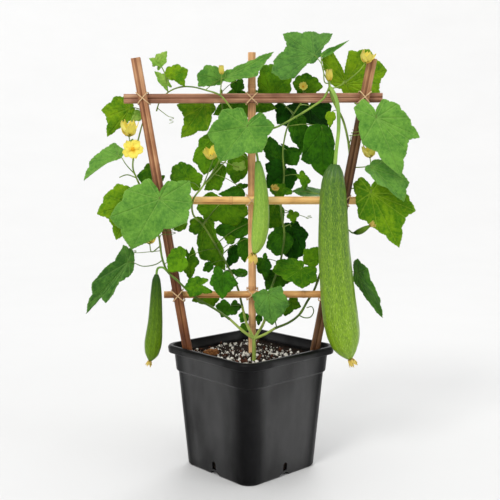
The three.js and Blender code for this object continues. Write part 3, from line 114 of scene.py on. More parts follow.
class Plan:
    """A node tree with helpers that add a node, wire its inputs and give back an output."""

    def __init__(self, tree: NodeTree) -> None:
        """Keeps the tree that the nodes go into."""
        self.tree = tree

    def node(
        self, kind: str, wires: Optional[dict[str, object]] = None, **settings: object
    ) -> Node:
        """Adds one node.

        Args:
            kind: the node's type name.
            wires: input name or identifier, and the output or the value that goes into it.
            settings: properties of the node itself.

        Returns:
            The new node.
        """
        made = self.tree.nodes.new(kind)
        for key, value in settings.items():
            setattr(made, key, value)
        for key, value in (wires or {}).items():
            exact = [s for s in made.inputs if s.identifier == key]
            self.wire((exact or [s for s in made.inputs if s.name == key])[0], value)
        return made

    def wire(self, target: NodeSocket, value: object) -> None:
        """Links an output to an input, or sets the input's own value."""
        value = value.socket if isinstance(value, Term) else value
        if isinstance(value, NodeSocket):
            self.tree.links.new(value, target)
        else:
            target.default_value = value

    def math(self, operation: str, first: object, second: object = 0.0) -> Term:
        """One arithmetic step, such as MULTIPLY, on one or two numbers."""
        wires = {"Value": first, "Value_001": second}
        return Term(self, self.node("ShaderNodeMath", wires, operation=operation).outputs[0])

    def random(self, low: object, high: object, seed: object) -> NodeSocket:
        """A number or vector drawn anew for each point between two bounds."""
        vector = isinstance(low, tuple)
        keys = ("Min", "Max", "Seed") if vector else ("Min_001", "Max_001", "Seed")
        kind = "FLOAT_VECTOR" if vector else "FLOAT"
        made = self.node("FunctionNodeRandomValue", dict(zip(keys, (low, high, seed))), data_type=kind)
        return made.outputs[0 if vector else 1]

    def noise(self, vector: object, scale: float, detail: float = 3.0, rough: float = 0.55) -> Term:
        """Soft noise from 0 to 1 over a vector, `scale` cells in each unit of it."""
        wires = {"Vector": vector, "Scale": scale, "Detail": detail, "Roughness": rough}
        return Term(self, self.node("ShaderNodeTexNoise", wires).outputs[0])

    def grain(self, vector: object, cells: Triple, detail: float = 3.0, rough: float = 0.55) -> Term:
        """Soft noise from 0 to 1 over a vector, with its own number of cells for each direction."""
        wires = {"Vector": vector, "Vector_001": cells}
        scaled = self.node("ShaderNodeVectorMath", wires, operation="MULTIPLY").outputs[0]
        return self.noise(scaled, 1.0, detail, rough)


def linked(name: str, data: object) -> Object:
    """A new object of the scene that holds a mesh, a lamp or a camera."""
    made = bpy.data.objects.new(name, data)
    bpy.context.scene.collection.objects.link(made)
    return made


def finished(piece: Object) -> Mesh:
    """A plain mesh of a piece as its modifiers leave it."""
    bpy.context.view_layer.update()
    graph = bpy.context.evaluated_depsgraph_get()
    whole = piece.evaluated_get(graph)
    return bpy.data.meshes.new_from_object(whole, preserve_all_data_layers=True, depsgraph=graph)


class GrowthPlan(Plan):
    """A Geometry Nodes tree with named inputs, which turns a source mesh into a finished one."""

    def __init__(self, name: str, inputs: dict[str, str]) -> None:
        """Opens an empty tree.

        Args:
            name: the tree's name.
            inputs: each further input's name and socket type.
        """
        super().__init__(bpy.data.node_groups.new(name, "GeometryNodeTree"))
        face = self.tree.interface
        face.new_socket("Geometry", in_out="INPUT", socket_type="NodeSocketGeometry")
        for label, kind in inputs.items():
            face.new_socket(label, in_out="INPUT", socket_type=kind)
        face.new_socket("Geometry", in_out="OUTPUT", socket_type="NodeSocketGeometry")
        self.start = self.tree.nodes.new("NodeGroupInput")

    def given(self, label: str) -> NodeSocket:
        """The tree's own input of that name."""
        return self.start.outputs[label]

    def close(self, geometry: NodeSocket) -> None:
        """Ends the tree with smooth faces, real geometry and the material."""
        smooth = self.node("GeometryNodeSetShadeSmooth", {"Geometry": geometry}).outputs[0]
        real = self.node("GeometryNodeRealizeInstances", {"Geometry": smooth}).outputs[0]
        wires = {"Geometry": real, "Material": self.given("Material")}
        done = self.node("GeometryNodeSetMaterial", wires).outputs[0]
        self.tree.links.new(done, self.tree.nodes.new("NodeGroupOutput").inputs[0])

    def grow(self, name: str, source: Mesh, values: dict[str, object]) -> Mesh:
        """Runs the tree on a mesh.

        Args:
            name: the name of the finished mesh.
            source: the mesh that the tree starts from; it is used up.
            values: the value of each named input.

        Returns:
            The finished mesh, with no modifier left.
        """
        holder = linked(name, source)
        modifier = holder.modifiers.new(self.tree.name, "NODES")
        modifier.node_group = self.tree
        inputs = [item for item in self.tree.interface.items_tree if item.in_out == "INPUT"]
        sockets = {item.name: item.identifier for item in inputs}
        for label, value in values.items():
            modifier[sockets[label]] = value
        made = finished(holder)
        made.name = name
        bpy.data.objects.remove(holder)
        bpy.data.meshes.remove(source)
        return made


@functools.cache
def sweep_plan(fixed_normal: bool) -> GrowthPlan:
    """The tree that sweeps a section along strands: stems, tendrils, canes and twine.

    Args:
        fixed_normal: whether the section keeps one side towards +Y, as a slat's does.

    Returns:
        The tree. Its source is a mesh of edges with a `thick` value at each point, and its result
        holds a `sweep` vector: the place in the section, and the length along the strand.
    """
    name = "slat_along_line" if fixed_normal else "strand_along_line"
    sizes = {label: "NodeSocketFloat" for label in ("Spacing", "Twist", "Relief", "Relief Scale")}
    plan = GrowthPlan(name, {"Section": "NodeSocketObject", **sizes, "Material": "NodeSocketMaterial"})
    line = plan.node("GeometryNodeMeshToCurve", {"Mesh": plan.given("Geometry")}).outputs[0]
    wires = {"Curve": line, "Length": plan.given("Spacing")}
    line = plan.node("GeometryNodeResampleCurve", wires, mode="LENGTH").outputs[0]
    mode = "FREE" if fixed_normal else "MINIMUM_TWIST"
    wires = {"Curve": line, "Normal": (0, 1, 0)}
    line = plan.node("GeometryNodeSetCurveNormal", wires, mode=mode).outputs[0]
    along = plan.node("GeometryNodeSplineParameter").outputs["Length"]
    tilt = plan.math("MULTIPLY", along, plan.given("Twist"))
    line = plan.node("GeometryNodeSetCurveTilt", {"Curve": line, "Tilt": tilt}).outputs[0]
    thick = plan.node("GeometryNodeInputNamedAttribute", {"Name": "thick"}, data_type="FLOAT").outputs[0]
    held = plan.node("GeometryNodeCaptureAttribute", {"Geometry": line}, domain="POINT")
    held.capture_items.new("FLOAT", "Length")
    held.capture_items.new("FLOAT", "Thick")
    plan.tree.links.new(along, held.inputs[1])
    plan.tree.links.new(thick, held.inputs[2])
    shape = plan.node("GeometryNodeObjectInfo", {"Object": plan.given("Section")}).outputs["Geometry"]
    shape = plan.node("GeometryNodeMeshToCurve", {"Mesh": shape}).outputs[0]
    place = plan.node("GeometryNodeInputPosition").outputs[0]
    spot = plan.node("GeometryNodeCaptureAttribute", {"Geometry": shape}, domain="POINT")
    spot.capture_items.new("VECTOR", "Spot")
    plan.tree.links.new(place, spot.inputs[1])
    wires = {"Curve": held.outputs[0], "Profile Curve": spot.outputs[0], "Scale": thick, "Fill Caps": True}
    skin = plan.node("GeometryNodeCurveToMesh", wires).outputs[0]
    wires = {"Vector": spot.outputs[1], "Scale": held.outputs[2]}
    sized = plan.node("ShaderNodeVectorMath", wires, operation="SCALE").outputs[0]
    across, up, _ = plan.node("ShaderNodeSeparateXYZ", {"Vector": sized}).outputs
    sweep = plan.node("ShaderNodeCombineXYZ", {"X": across, "Y": up, "Z": held.outputs[1]}).outputs[0]
    wires = {"Geometry": skin, "Name": "sweep", "Value": sweep}
    kept = plan.node("GeometryNodeStoreNamedAttribute", wires, data_type="FLOAT_VECTOR", domain="POINT")
    height = (plan.noise(place, plan.given("Relief Scale"), 2.0) - 0.5) * plan.given("Relief")
    wires = {"Vector": plan.node("GeometryNodeInputNormal").outputs[0], "Scale": height}
    lift = plan.node("ShaderNodeVectorMath", wires, operation="SCALE").outputs[0]
    wires = {"Geometry": kept.outputs[0], "Offset": lift}
    plan.close(plan.node("GeometryNodeSetPosition", wires).outputs[0])
    return plan


@functools.cache
def scatter_plan() -> GrowthPlan:
    """The tree that strews turned and sized grains over the soil's top in patches, with a fixed seed."""
    kinds = {"Grains": "NodeSocketCollection", "Material": "NodeSocketMaterial", "Seed": "NodeSocketInt"}
    labels = ("Density", "Patches", "Bare", "Smallest", "Largest", "Rise")
    plan = GrowthPlan("grains_over_soil", {**kinds, **{label: "NodeSocketFloat" for label in labels}})
    seed = plan.given("Seed")
    place = plan.node("GeometryNodeInputPosition").outputs[0]
    sharpness = 8.0
    patch = (plan.noise(place, plan.given("Patches"), 2.0) - plan.given("Bare")) * sharpness
    wires = {"Mesh": plan.given("Geometry"), "Density": patch.held() * plan.given("Density"), "Seed": seed}
    dots = plan.node("GeometryNodeDistributePointsOnFaces", wires, distribute_method="RANDOM").outputs[0]
    size = plan.random(plan.given("Smallest"), plan.given("Largest"), seed)
    turn = plan.random((0, 0, 0), (math.tau, math.tau, math.tau), seed)
    turn = plan.node("FunctionNodeEulerToRotation", {"Euler": turn}).outputs[0]
    wires = {"Collection": plan.given("Grains"), "Separate Children": True}
    grains = plan.node("GeometryNodeCollectionInfo", wires).outputs[0]
    wires = {"Points": dots, "Instance": grains, "Pick Instance": True, "Rotation": turn, "Scale": size}
    spread = plan.node("GeometryNodeInstanceOnPoints", wires).outputs[0]
    rise = plan.node("ShaderNodeCombineXYZ", {"Z": plan.given("Rise")}).outputs[0]
    wires = {"Instances": spread, "Translation": rise, "Local Space": False}
    plan.close(plan.node("GeometryNodeTranslateInstances", wires).outputs[0])
    return plan


@functools.cache
def whorl_plan() -> GrowthPlan:
    """The tree that sets copies of one petal or sepal round a flower's axis, each a little turned."""
    sizes = {"Count": "NodeSocketInt", "Sway": "NodeSocketFloat", "Seed": "NodeSocketInt"}
    plan = GrowthPlan("petals_round_axis", {**sizes, "Material": "NodeSocketMaterial"})
    count = plan.given("Count")
    dots = plan.node("GeometryNodePoints", {"Count": count}).outputs[0]
    index = plan.node("GeometryNodeInputIndex").outputs[0]
    around = plan.math("DIVIDE", plan.math("MULTIPLY", index, math.tau), count)
    sway = plan.given("Sway")
    lean = plan.random(plan.math("MULTIPLY", sway, -1.0), sway, plan.given("Seed"))
    turn = plan.node("ShaderNodeCombineXYZ", {"Y": lean, "Z": around + lean}).outputs[0]
    turn = plan.node("FunctionNodeEulerToRotation", {"Euler": turn}).outputs[0]
    wires = {"Points": dots, "Instance": plan.given("Geometry"), "Rotation": turn}
    plan.close(plan.node("GeometryNodeInstanceOnPoints", wires).outputs[0])
    return plan


# Finishes


class Sketch(Plan):
    """A material around one principled shader, with helpers for its patterns."""

    def __init__(self, name: str, sockets: dict[str, object]) -> None:
        """Opens the material.

        Args:
            name: the material's name.
            sockets: values set directly on the shader.
        """
        self.material = bpy.data.materials.new(name)
        self.material.use_nodes = True
        super().__init__(self.material.node_tree)
        self.shader = self.tree.nodes["Principled BSDF"]
        for key, value in sockets.items():
            self.shader.inputs[key].default_value = value

    def place(self) -> NodeSocket:
        """Object coordinates, in metres."""
        return self.node("ShaderNodeTexCoord").outputs["Object"]

    def attribute(self, name: str) -> NodeSocket:
        """A vector kept on the mesh."""
        return self.node("ShaderNodeAttribute", attribute_name=name).outputs["Vector"]

    def parts(self, vector: NodeSocket) -> list[Term]:
        """The three parts of a vector."""
        return [Term(self, part) for part in self.node("ShaderNodeSeparateXYZ", {"Vector": vector}).outputs]

    def mix(self, share: object, under: NodeSocket, over: Colour, blend: str = "MIX") -> NodeSocket:
        """Lays a plain colour over another.

        Args:
            share: how much of the plain colour there is, from 0 to 1.
            under: the colour at share 0.
            over: the plain colour.
            blend: the way of mixing.

        Returns:
            The mixed colour.
        """
        wires = {"Factor_Float": share, "A_Color": under, "B_Color": linear(over)}
        return self.node("ShaderNodeMix", wires, data_type="RGBA", blend_type=blend).outputs[2]

    def ramp(self, share: Term, stops: Sequence[tuple[float, Colour]]) -> NodeSocket:
        """A colour looked up on a row of stops."""
        made = self.node("ShaderNodeValToRGB", {"Fac": share})
        points = made.color_ramp.elements
        while len(points) < len(stops):
            points.new(0.5)
        for point, (at, colour) in zip(points, stops):
            point.position = at
            point.color = linear(colour)
        return made.outputs[0]

    def line(self, distance: object, width: object) -> Term:
        """1 on a line and 0 past its width."""
        return (1.0 - self.math("DIVIDE", distance, width)).held()

    def between(self, value: Term, low: float, high: float, to: Pair = (0.0, 1.0)) -> Term:
        """A number that rises between two bounds, from the first end of `to` to the second."""
        wires = {"Value": value, "From Min": low, "From Max": high, "To Min": to[0], "To Max": to[1]}
        return Term(self, self.node("ShaderNodeMapRange", wires).outputs[0])

    def finish(
        self, colour: NodeSocket, height: Optional[Term] = None, depth: float = 0.001
    ) -> Material:
        """Wires the colour and the bump, and closes the material.

        Args:
            colour: the base colour.
            height: the relief from 0 to 1, or None for a smooth surface.
            depth: the relief's depth in metres.

        Returns:
            The finished material.
        """
        self.wire(self.shader.inputs["Base Color"], colour)
        if height is not None:
            bump = self.node("ShaderNodeBump", {"Height": height, "Distance": depth})
            self.wire(self.shader.inputs["Normal"], bump.outputs[0])
        return self.material


@dataclass(frozen=True)
class LeafFinish:
    """A leaf's two faces with palmate veins, their side veins and a fine net between them, and painted light
    in a paler band round the margin.
    """

    name: str
    face: Colour
    deep: Colour
    vein: Colour
    under: Colour
    gloss: float = 0.08
    side_veins: float = 9.0
    net_cells: float = 300.0
    blotch_cells: float = 34.0
    mottle_cells: float = 170.0

    def material(self) -> Material:
        """Builds the material from the veins' own map, which holds distance and length."""
        sketch = Sketch(self.name, {"Roughness": 0.5, "Specular IOR Level": self.gloss})
        away, length, _ = sketch.parts(sketch.node("ShaderNodeUVMap", uv_map="veins").outputs[0])
        main = sketch.line(away, 0.02 - length * 0.013)
        rank = sketch.math("FRACT", (length - away) * self.side_veins)
        side = sketch.line(sketch.math("ABSOLUTE", rank - 0.5), 0.09)
        place = sketch.place()
        wires = {"Vector": place, "Scale": self.net_cells}
        cells = sketch.node("ShaderNodeTexVoronoi", wires, feature="DISTANCE_TO_EDGE").outputs[0]
        net = sketch.line(cells, 0.12)
        blotch = sketch.noise(place, self.blotch_cells, 3.0)
        mottle = sketch.noise(place, self.mottle_cells, 4.0, 0.65)
        under, tint, rim = sketch.parts(sketch.attribute("blade"))
        share = blotch * 0.5 + mottle * 0.5 + (tint - 0.5) * 0.1
        colour = sketch.ramp(share, [(0.39, self.deep), (0.61, self.face)])
        paler = (main * 0.42 + side * 0.14 + net * 0.06).held()
        colour = sketch.mix(paler, colour, self.vein)
        # Painted light: a paler band round the margin, where light comes through the thin edge.
        colour = sketch.mix(sketch.line(1.0 - rim, 0.04) * 0.35, colour, self.vein)
        colour = sketch.mix(under * 0.6, colour, self.under)
        low = main + (side + net) * 0.4
        return sketch.finish(colour, blotch * 0.6 - low, 0.0006)


@dataclass(frozen=True)
class StemFinish:
    """Green stem with fine lengthwise ribs and darker freckles."""

    name: str
    light: Colour
    dark: Colour
    hair: Colour
    shaded_below: float = 0.6

    def material(self) -> Material:
        """Builds the material from the strand's own section and length, darker low on the plant."""
        sheen = {"Sheen Weight": 0.08, "Sheen Tint": linear(self.hair)}
        sketch = Sketch(self.name, {"Roughness": 0.5, "Specular IOR Level": 0.35, **sheen})
        streak = sketch.grain(sketch.attribute("sweep"), (900.0, 900.0, 40.0))
        patch = sketch.noise(sketch.place(), 22.0, 2.0)
        low = sketch.line(sketch.parts(sketch.place())[2], self.shaded_below)
        share = (streak + patch) * 0.5 - low * 0.3
        colour = sketch.ramp(share, [(0.38, self.dark), (0.6, self.light)])
        return sketch.finish(colour, streak, 0.0004)


@dataclass(frozen=True)
class PetalFinish:
    """Thin yellow petal, deeper towards its foot and finely pleated."""

    name: str
    edge: Colour
    foot: Colour
    pleats: float = 34.0

    def material(self) -> Material:
        """Builds the material from the petal's own map, across and along."""
        sketch = Sketch(self.name, {"Roughness": 0.5, "Specular IOR Level": 0.3, "Sheen Weight": 0.2})
        across, along, _ = sketch.parts(sketch.node("ShaderNodeUVMap", uv_map="petal").outputs[0])
        blotch = sketch.noise(sketch.place(), 260.0)
        colour = sketch.ramp(along + (blotch - 0.5) * 0.7, [(0.0, self.foot), (0.42, self.edge)])
        return sketch.finish(colour, sketch.math("SINE", across * self.pleats), 0.0003)


@dataclass(frozen=True)
class SkinFinish:
    """Smooth luffa skin with fine lengthwise streaks, dark dashes and pale flecks, with painted shade at its
    neck and down its upper part, painted light towards its lower end, and painted highlights along its
    ridges.
    """

    name: str
    light: Colour
    dark: Colour
    fleck: Colour
    neck: float = 0.1
    gloss: float = 0.4

    def material(self) -> Material:
        """Builds the material from the fruit's own directions, around and along, with painted light and
        shade along its length.
        """
        coat = {"Coat Weight": 0.08, "Coat Roughness": 0.3}
        sketch = Sketch(self.name, {"Roughness": 0.38, "Specular IOR Level": self.gloss, **coat})
        around = sketch.attribute("skin")
        furrow, share, _ = sketch.parts(sketch.attribute("ribs"))
        streak = sketch.grain(around, (12.0, 12.0, 9.0), 4.0, 0.6)
        fine = sketch.grain(around, (26.0, 26.0, 150.0), 3.0, 0.6)
        dash = sketch.grain(around, (40.0, 40.0, 70.0), 2.0)
        freckle = sketch.grain(around, (24.0, 24.0, 190.0), 2.0)
        # Painted light and shade: the tone rises towards the lower end, and a little on each ridge's crest
        # as a painted highlight, so the upper part and the furrows are darker.
        tone = streak * 0.16 + fine * 0.84 + furrow * 0.035 + (share - 0.5) * 0.28
        colour = sketch.ramp(tone, [(0.28, self.dark), (0.7, self.light)])
        colour = sketch.mix(sketch.between(dash, 0.61, 0.66) * 0.6, colour, self.dark)
        # The pale flecks thicken towards the lower end, as part of the painted light there.
        pale = sketch.between(freckle, 0.58, 0.68) * (share * 0.5 + 0.25)
        colour = sketch.mix(pale, colour, self.fleck)
        # Painted shade at the neck, where the fruit hangs from its stalk.
        colour = sketch.mix(sketch.line(share, self.neck) * 0.75, colour, self.dark)
        return sketch.finish(colour, fine * 0.7 + freckle * 0.3, 0.0006)


@dataclass(frozen=True)
class BambooFinish:
    """Bamboo with lengthwise fibres, stains, darker rings at its knots, painted shade down a slat's groove,
    and painted shade low on a cane between two heights.
    """

    name: str
    light: Colour
    middle: Colour
    dark: Colour
    fibre: float = 260.0
    groove: float = 0.0
    rough: float = 0.5
    shade_tint: Colour = (255, 255, 255)
    shaded_heights: Pair = (0.0, 0.0)
    shade_edge_sway: float = 0.05

    def material(self) -> Material:
        """Builds the material from the cane's own section and length, with painted shade that deepens
        between two heights.
        """
        sketch = Sketch(self.name, {"Roughness": self.rough, "Specular IOR Level": 0.35})
        sweep = sketch.attribute("sweep")
        fibres = sketch.grain(sweep, (self.fibre, self.fibre, 5.0), 5.0, 0.65)
        bands = sketch.grain(sweep, (70.0, 70.0, 2.5), 2.0)
        stain_and_shade_edge = sketch.noise(sketch.place(), 16.0)
        tone = (fibres + (bands + stain_and_shade_edge)) * 0.333
        colour = sketch.ramp(tone, [(0.4, self.dark), (0.5, self.middle), (0.6, self.light)])
        # Painted shade: a darker line down the slat's groove, broken by the bands.
        if self.groove:
            groove_shade = sketch.line(sketch.math("ABSOLUTE", sketch.parts(sweep)[1]), self.groove)
            colour = sketch.mix((groove_shade * (bands * 1.1)).held(), colour, self.dark)
        # Painted shade on the lower part of a cane: a tint multiplied in, deepening between two heights
        # along a wavy edge.
        if any(self.shaded_heights):
            height = sketch.parts(sketch.place())[2] + (stain_and_shade_edge - 0.5) * self.shade_edge_sway
            colour = sketch.mix(sketch.between(height, *self.shaded_heights), colour, self.shade_tint, "MULTIPLY")
        knot = sketch.parts(sketch.attribute("knot"))[0]
        colour = sketch.mix(knot * 0.65, colour, self.dark)
        return sketch.finish(colour, fibres, 0.0007)


@dataclass(frozen=True)
class GrainFinish:
    """Matt lumps, fibres or grains with two mixed colours."""

    name: str
    light: Colour
    dark: Colour
    scale: float
    depth: float
    rough: float = 0.9

    def material(self) -> Material:
        """Builds the material from Object coordinates."""
        sketch = Sketch(self.name, {"Roughness": self.rough, "Specular IOR Level": 0.12})
        coarse = sketch.noise(sketch.place(), self.scale, 5.0, 0.65)
        colour = sketch.ramp(coarse, [(0.38, self.dark), (0.62, self.light)])
        return sketch.finish(colour, sketch.noise(sketch.place(), self.scale * 4, 4.0, 0.7), self.depth)


@dataclass(frozen=True)
class TwineFinish:
    """Pale plant-fibre twine with loose fibres along its strands."""

    name: str
    light: Colour
    dark: Colour

    def material(self) -> Material:
        """Builds the material from the strand's own section and length."""
        sketch = Sketch(self.name, {"Roughness": 0.9, "Specular IOR Level": 0.2, "Sheen Weight": 0.3})
        fibres = sketch.grain(sketch.attribute("sweep"), (2200.0, 2200.0, 260.0), 4.0)
        colour = sketch.ramp(fibres, [(0.35, self.dark), (0.6, self.light)])
        return sketch.finish(colour, fibres, 0.0006)


@dataclass(frozen=True)
class PotFinish:
    """Charcoal moulded plastic with a fine grain and smears, duller on its corners and its lip, and with
    painted shade darkening its colour near the lip.
    """

    name: str
    base: Colour
    worn: Colour
    rim_height: float
    side: Pair = (0.094, 0.114)
    lip: float = 0.016

    def material(self) -> Material:
        """Builds the material from Object coordinates, with less gloss on the corners and the lip, and
        painted shade in the colour near the lip.
        """
        sketch = Sketch(self.name, {"Roughness": 0.3})
        place = sketch.place()
        x, y, height = sketch.parts(place)
        smear = sketch.grain(place, (9.0, 9.0, 4.0), 4.0)
        dust = sketch.noise(place, 120.0, 4.0, 0.7)
        rim = sketch.line(self.rim_height - height, self.lip)
        # The smears and dust are the plastic's own; the darkening near the lip is painted shade on the lip
        # and the top of the inner wall.
        wear_and_lip_shade = (smear * 0.6 + dust * 0.25 - rim * 0.2).held()
        colour = sketch.ramp(wear_and_lip_shade, [(0.35, self.base), (0.8, self.worn)])
        flat = sketch.node("ShaderNodeCombineXYZ", {"X": x, "Y": y}).outputs[0]
        reach = sketch.node("ShaderNodeVectorMath", {"Vector": flat}, operation="LENGTH").outputs["Value"]
        side = sketch.between(height, 0.0, self.rim_height, self.side)
        corner = sketch.between(sketch.math("DIVIDE", reach, side), 1.14, 1.24)
        dull = sketch.math("MAXIMUM", corner * 0.75, rim * 0.85)
        gloss = sketch.between(smear, 0.35, 0.65, (0.22, 0.7)) * (1.0 - dull)
        sketch.wire(sketch.shader.inputs["Specular IOR Level"], gloss)
        return sketch.finish(colour, sketch.noise(place, 1500.0, 2.0), 0.00015)


class Tone(Enum):
    """How a leaf looks from the front, with the light or shade on it painted into its colour: lit by the
    sky, dimly lit, glowing from behind, or in half, full or deep shade; the lit ones are also glossier. A
    young leaf is paler in its own colour.
    """

    LIT = LeafFinish("leaf_lit", (104, 156, 50), (60, 116, 26), (140, 182, 88), (112, 156, 70), 0.22)
    DULL = LeafFinish("leaf_dull", (88, 140, 46), (46, 96, 24), (124, 168, 80), (100, 146, 66), 0.22)
    GLOW = LeafFinish("leaf_glowing", (124, 162, 16), (64, 116, 6), (156, 188, 60), (122, 160, 50))
    MILD = LeafFinish("leaf_mild", (96, 146, 12), (44, 98, 4), (124, 166, 44), (96, 142, 36))
    SHADE = LeafFinish("leaf_shaded", (58, 116, 8), (20, 68, 2), (84, 138, 30), (66, 116, 24))
    DEEP = LeafFinish("leaf_deep", (32, 92, 6), (8, 46, 0), (54, 110, 20), (44, 94, 16))
    YOUNG = LeafFinish("leaf_young", (156, 190, 84), (112, 162, 52), (182, 208, 116), (156, 190, 96))


class Look(Enum):
    """The finishes of all that isn't a leaf."""

    STEM = StemFinish("stem_green", (140, 168, 62), (72, 102, 26), (215, 228, 190))
    TRUNK = StemFinish("trunk_olive", (156, 176, 78), (92, 112, 40), (215, 228, 190), 0.01)
    THICK_STEM = StemFinish("fruit_stalk_green", (144, 180, 72), (96, 138, 44), (215, 228, 190))
    PETAL = PetalFinish("petal_yellow", (255, 238, 96), (250, 200, 24))
    WITHERED = PetalFinish("petal_withered", (246, 214, 96), (196, 142, 50))
    ANTHER = GrainFinish("anther_orange", (250, 200, 50), (228, 150, 24), 700.0, 0.0004)
    SKIN = SkinFinish("luffa_skin_green", (130, 168, 14), (34, 82, 2), (180, 204, 96))
    PALE_SKIN = SkinFinish("luffa_skin_pale", (150, 186, 58), (86, 132, 28), (190, 212, 112), 0.16)
    DEEP_SKIN = SkinFinish("luffa_skin_deep", (96, 130, 4), (22, 62, 0), (130, 162, 60), 0.3, 0.15)
    SLAT = BambooFinish("bamboo_split", (200, 158, 122), (160, 112, 84), (104, 64, 44), 320.0, 0.0022)
    # Both uprights carry painted shade low down: on the left it fades in from 0.62 m to 0.38 m, and on the
    # right it is darker and falls in just below 0.72 m.
    LEFT_SLAT = BambooFinish("bamboo_split_left", (200, 154, 112), (158, 106, 70), (102, 60, 36),
                             320.0, 0.0022, 0.5, (186, 164, 136), (0.62, 0.38))
    RIGHT_SLAT = BambooFinish("bamboo_split_right", (190, 146, 102), (150, 104, 66), (96, 60, 34),
                              320.0, 0.0022, 0.5, (160, 152, 132), (0.72, 0.66))
    CANE = BambooFinish("bamboo_cane", (240, 196, 146), (220, 168, 114), (158, 108, 66), 240.0, 0.0, 0.42)
    PALE_BAR = BambooFinish("bamboo_bar_pale", (248, 214, 144), (232, 182, 108), (172, 122, 66),
                            240.0, 0.0, 0.42)
    BAR = BambooFinish("bamboo_bar", (230, 184, 116), (204, 146, 84), (146, 92, 48), 240.0, 0.0, 0.45)
    TWINE = TwineFinish("twine_pale", (232, 202, 156), (184, 140, 92))
    PLASTIC = PotFinish("pot_plastic", (8, 8, 9), (30, 30, 32), 0.242)
    PEAT = GrainFinish("peat_dark", (42, 29, 19), (12, 8, 5), 160.0, 0.003)
    CRUMB = GrainFinish("peat_crumbs", (58, 42, 31), (16, 11, 8), 260.0, 0.001)
    PERLITE = GrainFinish("perlite_white", (240, 238, 230), (198, 192, 180), 420.0, 0.0008, 0.8)
    BARK = GrainFinish("bark_reddish", (104, 64, 46), (40, 24, 18), 300.0, 0.001)
    CLOD = GrainFinish("clod_brown", (150, 100, 56), (78, 48, 26), 330.0, 0.002)


@functools.cache
def material_of(look: Enum) -> Material:
    """The finished material of a look or a tone, built once."""
    return look.value.material()


# Meshes and routes


def spot_of(points: Sequence) -> Array:
    """Places measured in millimetres as an array in metres."""
    return np.asarray(points, float) * MM


def smooth_route(points: Array, samples: int = 14) -> Array:
    """A dense line on the smooth curve through points, with knots spaced by the root of the distance.

    Args:
        points: the points that the curve passes.
        samples: how many steps each stretch is cut into.

    Returns:
        The points of the line.
    """
    before = 2 * points[0] - points[1]
    after = 2 * points[-1] - points[-2]
    row = np.vstack([before, points, after])
    line = []
    share = np.linspace(0, 1, samples, endpoint=False)[:, None]
    for i in range(1, len(row) - 2):
        p0, p1, p2, p3 = row[i - 1:i + 3]
        ends = ((p0, p1), (p1, p2), (p2, p3))
        d0, d1, d2 = (max(float(np.linalg.norm(b - a)) ** 0.5, 1e-5) for a, b in ends)
        leave = ((p1 - p0) / d0 - (p2 - p0) / (d0 + d1) + (p2 - p1) / d1) * d1
        arrive = ((p2 - p1) / d1 - (p3 - p1) / (d1 + d2) + (p3 - p2) / d2) * d1
        square, cube = share ** 2, share ** 3
        bend = (-3 * p1 + 3 * p2 - 2 * leave - arrive) * square + (2 * p1 - 2 * p2 + leave + arrive) * cube
        line.append(p1 + leave * share + bend)
    line.append(points[-1:])
    return np.vstack(line)


def lengths_of(line: Array) -> Array:
    """The length along a line at each of its points."""
    return np.concatenate([[0.0], np.cumsum(np.linalg.norm(np.diff(line, axis=0), axis=1))])


def at_lengths(line: Array, wanted: Array) -> Array:
    """The points of a line at some lengths along it."""
    return np.column_stack([np.interp(wanted, lengths_of(line), line[:, axis]) for axis in range(3)])


def evenly(line: Array, step: float) -> Array:
    """The same line with points an even step apart.

    Args:
        line: the points of the line.
        step: the wanted distance between points.

    Returns:
        The new points, which include both ends.
    """
    whole = lengths_of(line)[-1]
    return at_lengths(line, np.linspace(0, whole, max(2, math.ceil(whole / step) + 1)))


def mesh_from(name: str, points: Array, faces: Sequence, looks: Sequence[Enum] = ()) -> Mesh:
    """A smooth-shaded mesh from points and faces.

    Args:
        name: the mesh's name.
        points: the places of its points.
        faces: the point numbers of each face.
        looks: the looks whose materials it gets.

    Returns:
        The mesh.
    """
    mesh = bpy.data.meshes.new(name)
    mesh.from_pydata(np.asarray(points).tolist(), [], faces)
    for look in looks:
        mesh.materials.append(material_of(look))
    mesh.shade_smooth()
    return mesh


def grid_faces(rows: int, columns: int, closed: bool = True) -> Array:
    """Faces between rows of points.

    Args:
        rows: the number of rows.
        columns: the number of points in each row.
        closed: whether each row closes on itself.

    Returns:
        The four point numbers of each face.
    """
    last = columns if closed else columns - 1
    row, column = np.meshgrid(np.arange(rows - 1), np.arange(last), indexing="ij")
    low = row * columns + column
    beside = row * columns + (column + 1) % columns
    return np.stack([low, beside, beside + columns, low + columns], axis=-1).reshape(-1, 4)


def closed_rings(name: str, rings: Array, looks: Sequence[Enum]) -> Mesh:
    """A closed skin over a stack of rings, with its two ends filled.

    Args:
        name: the mesh's name.
        rings: an array of rings, points and coordinates.
        looks: the looks whose materials it gets.

    Returns:
        The mesh, with its faces out.
    """
    rows, columns, _ = rings.shape
    points = np.vstack([rings.reshape(-1, 3), rings[0].mean(0), rings[-1].mean(0)])
    first, last = rows * columns, rows * columns + 1
    faces = grid_faces(rows, columns).tolist()
    top = (rows - 1) * columns
    for j in range(columns):
        after = (j + 1) % columns
        faces.append([first, after, j])
        faces.append([last, top + j, top + after])
    return faced_out(mesh_from(name, points, faces, looks))


def faced_out(mesh: Mesh) -> Mesh:
    """Turns a closed mesh's faces outwards where its volume is negative."""
    mesh.calc_loop_triangles()
    corners = np.zeros(len(mesh.loop_triangles) * 3, int)
    mesh.loop_triangles.foreach_get("vertices", corners)
    places = np.zeros(len(mesh.vertices) * 3)
    mesh.vertices.foreach_get("co", places)
    a, b, c = places.reshape(-1, 3)[corners.reshape(-1, 3)].transpose(1, 0, 2)
    if np.einsum("ij,ij->i", a, np.cross(b, c)).sum() < 0:
        mesh.flip_normals()
    return mesh


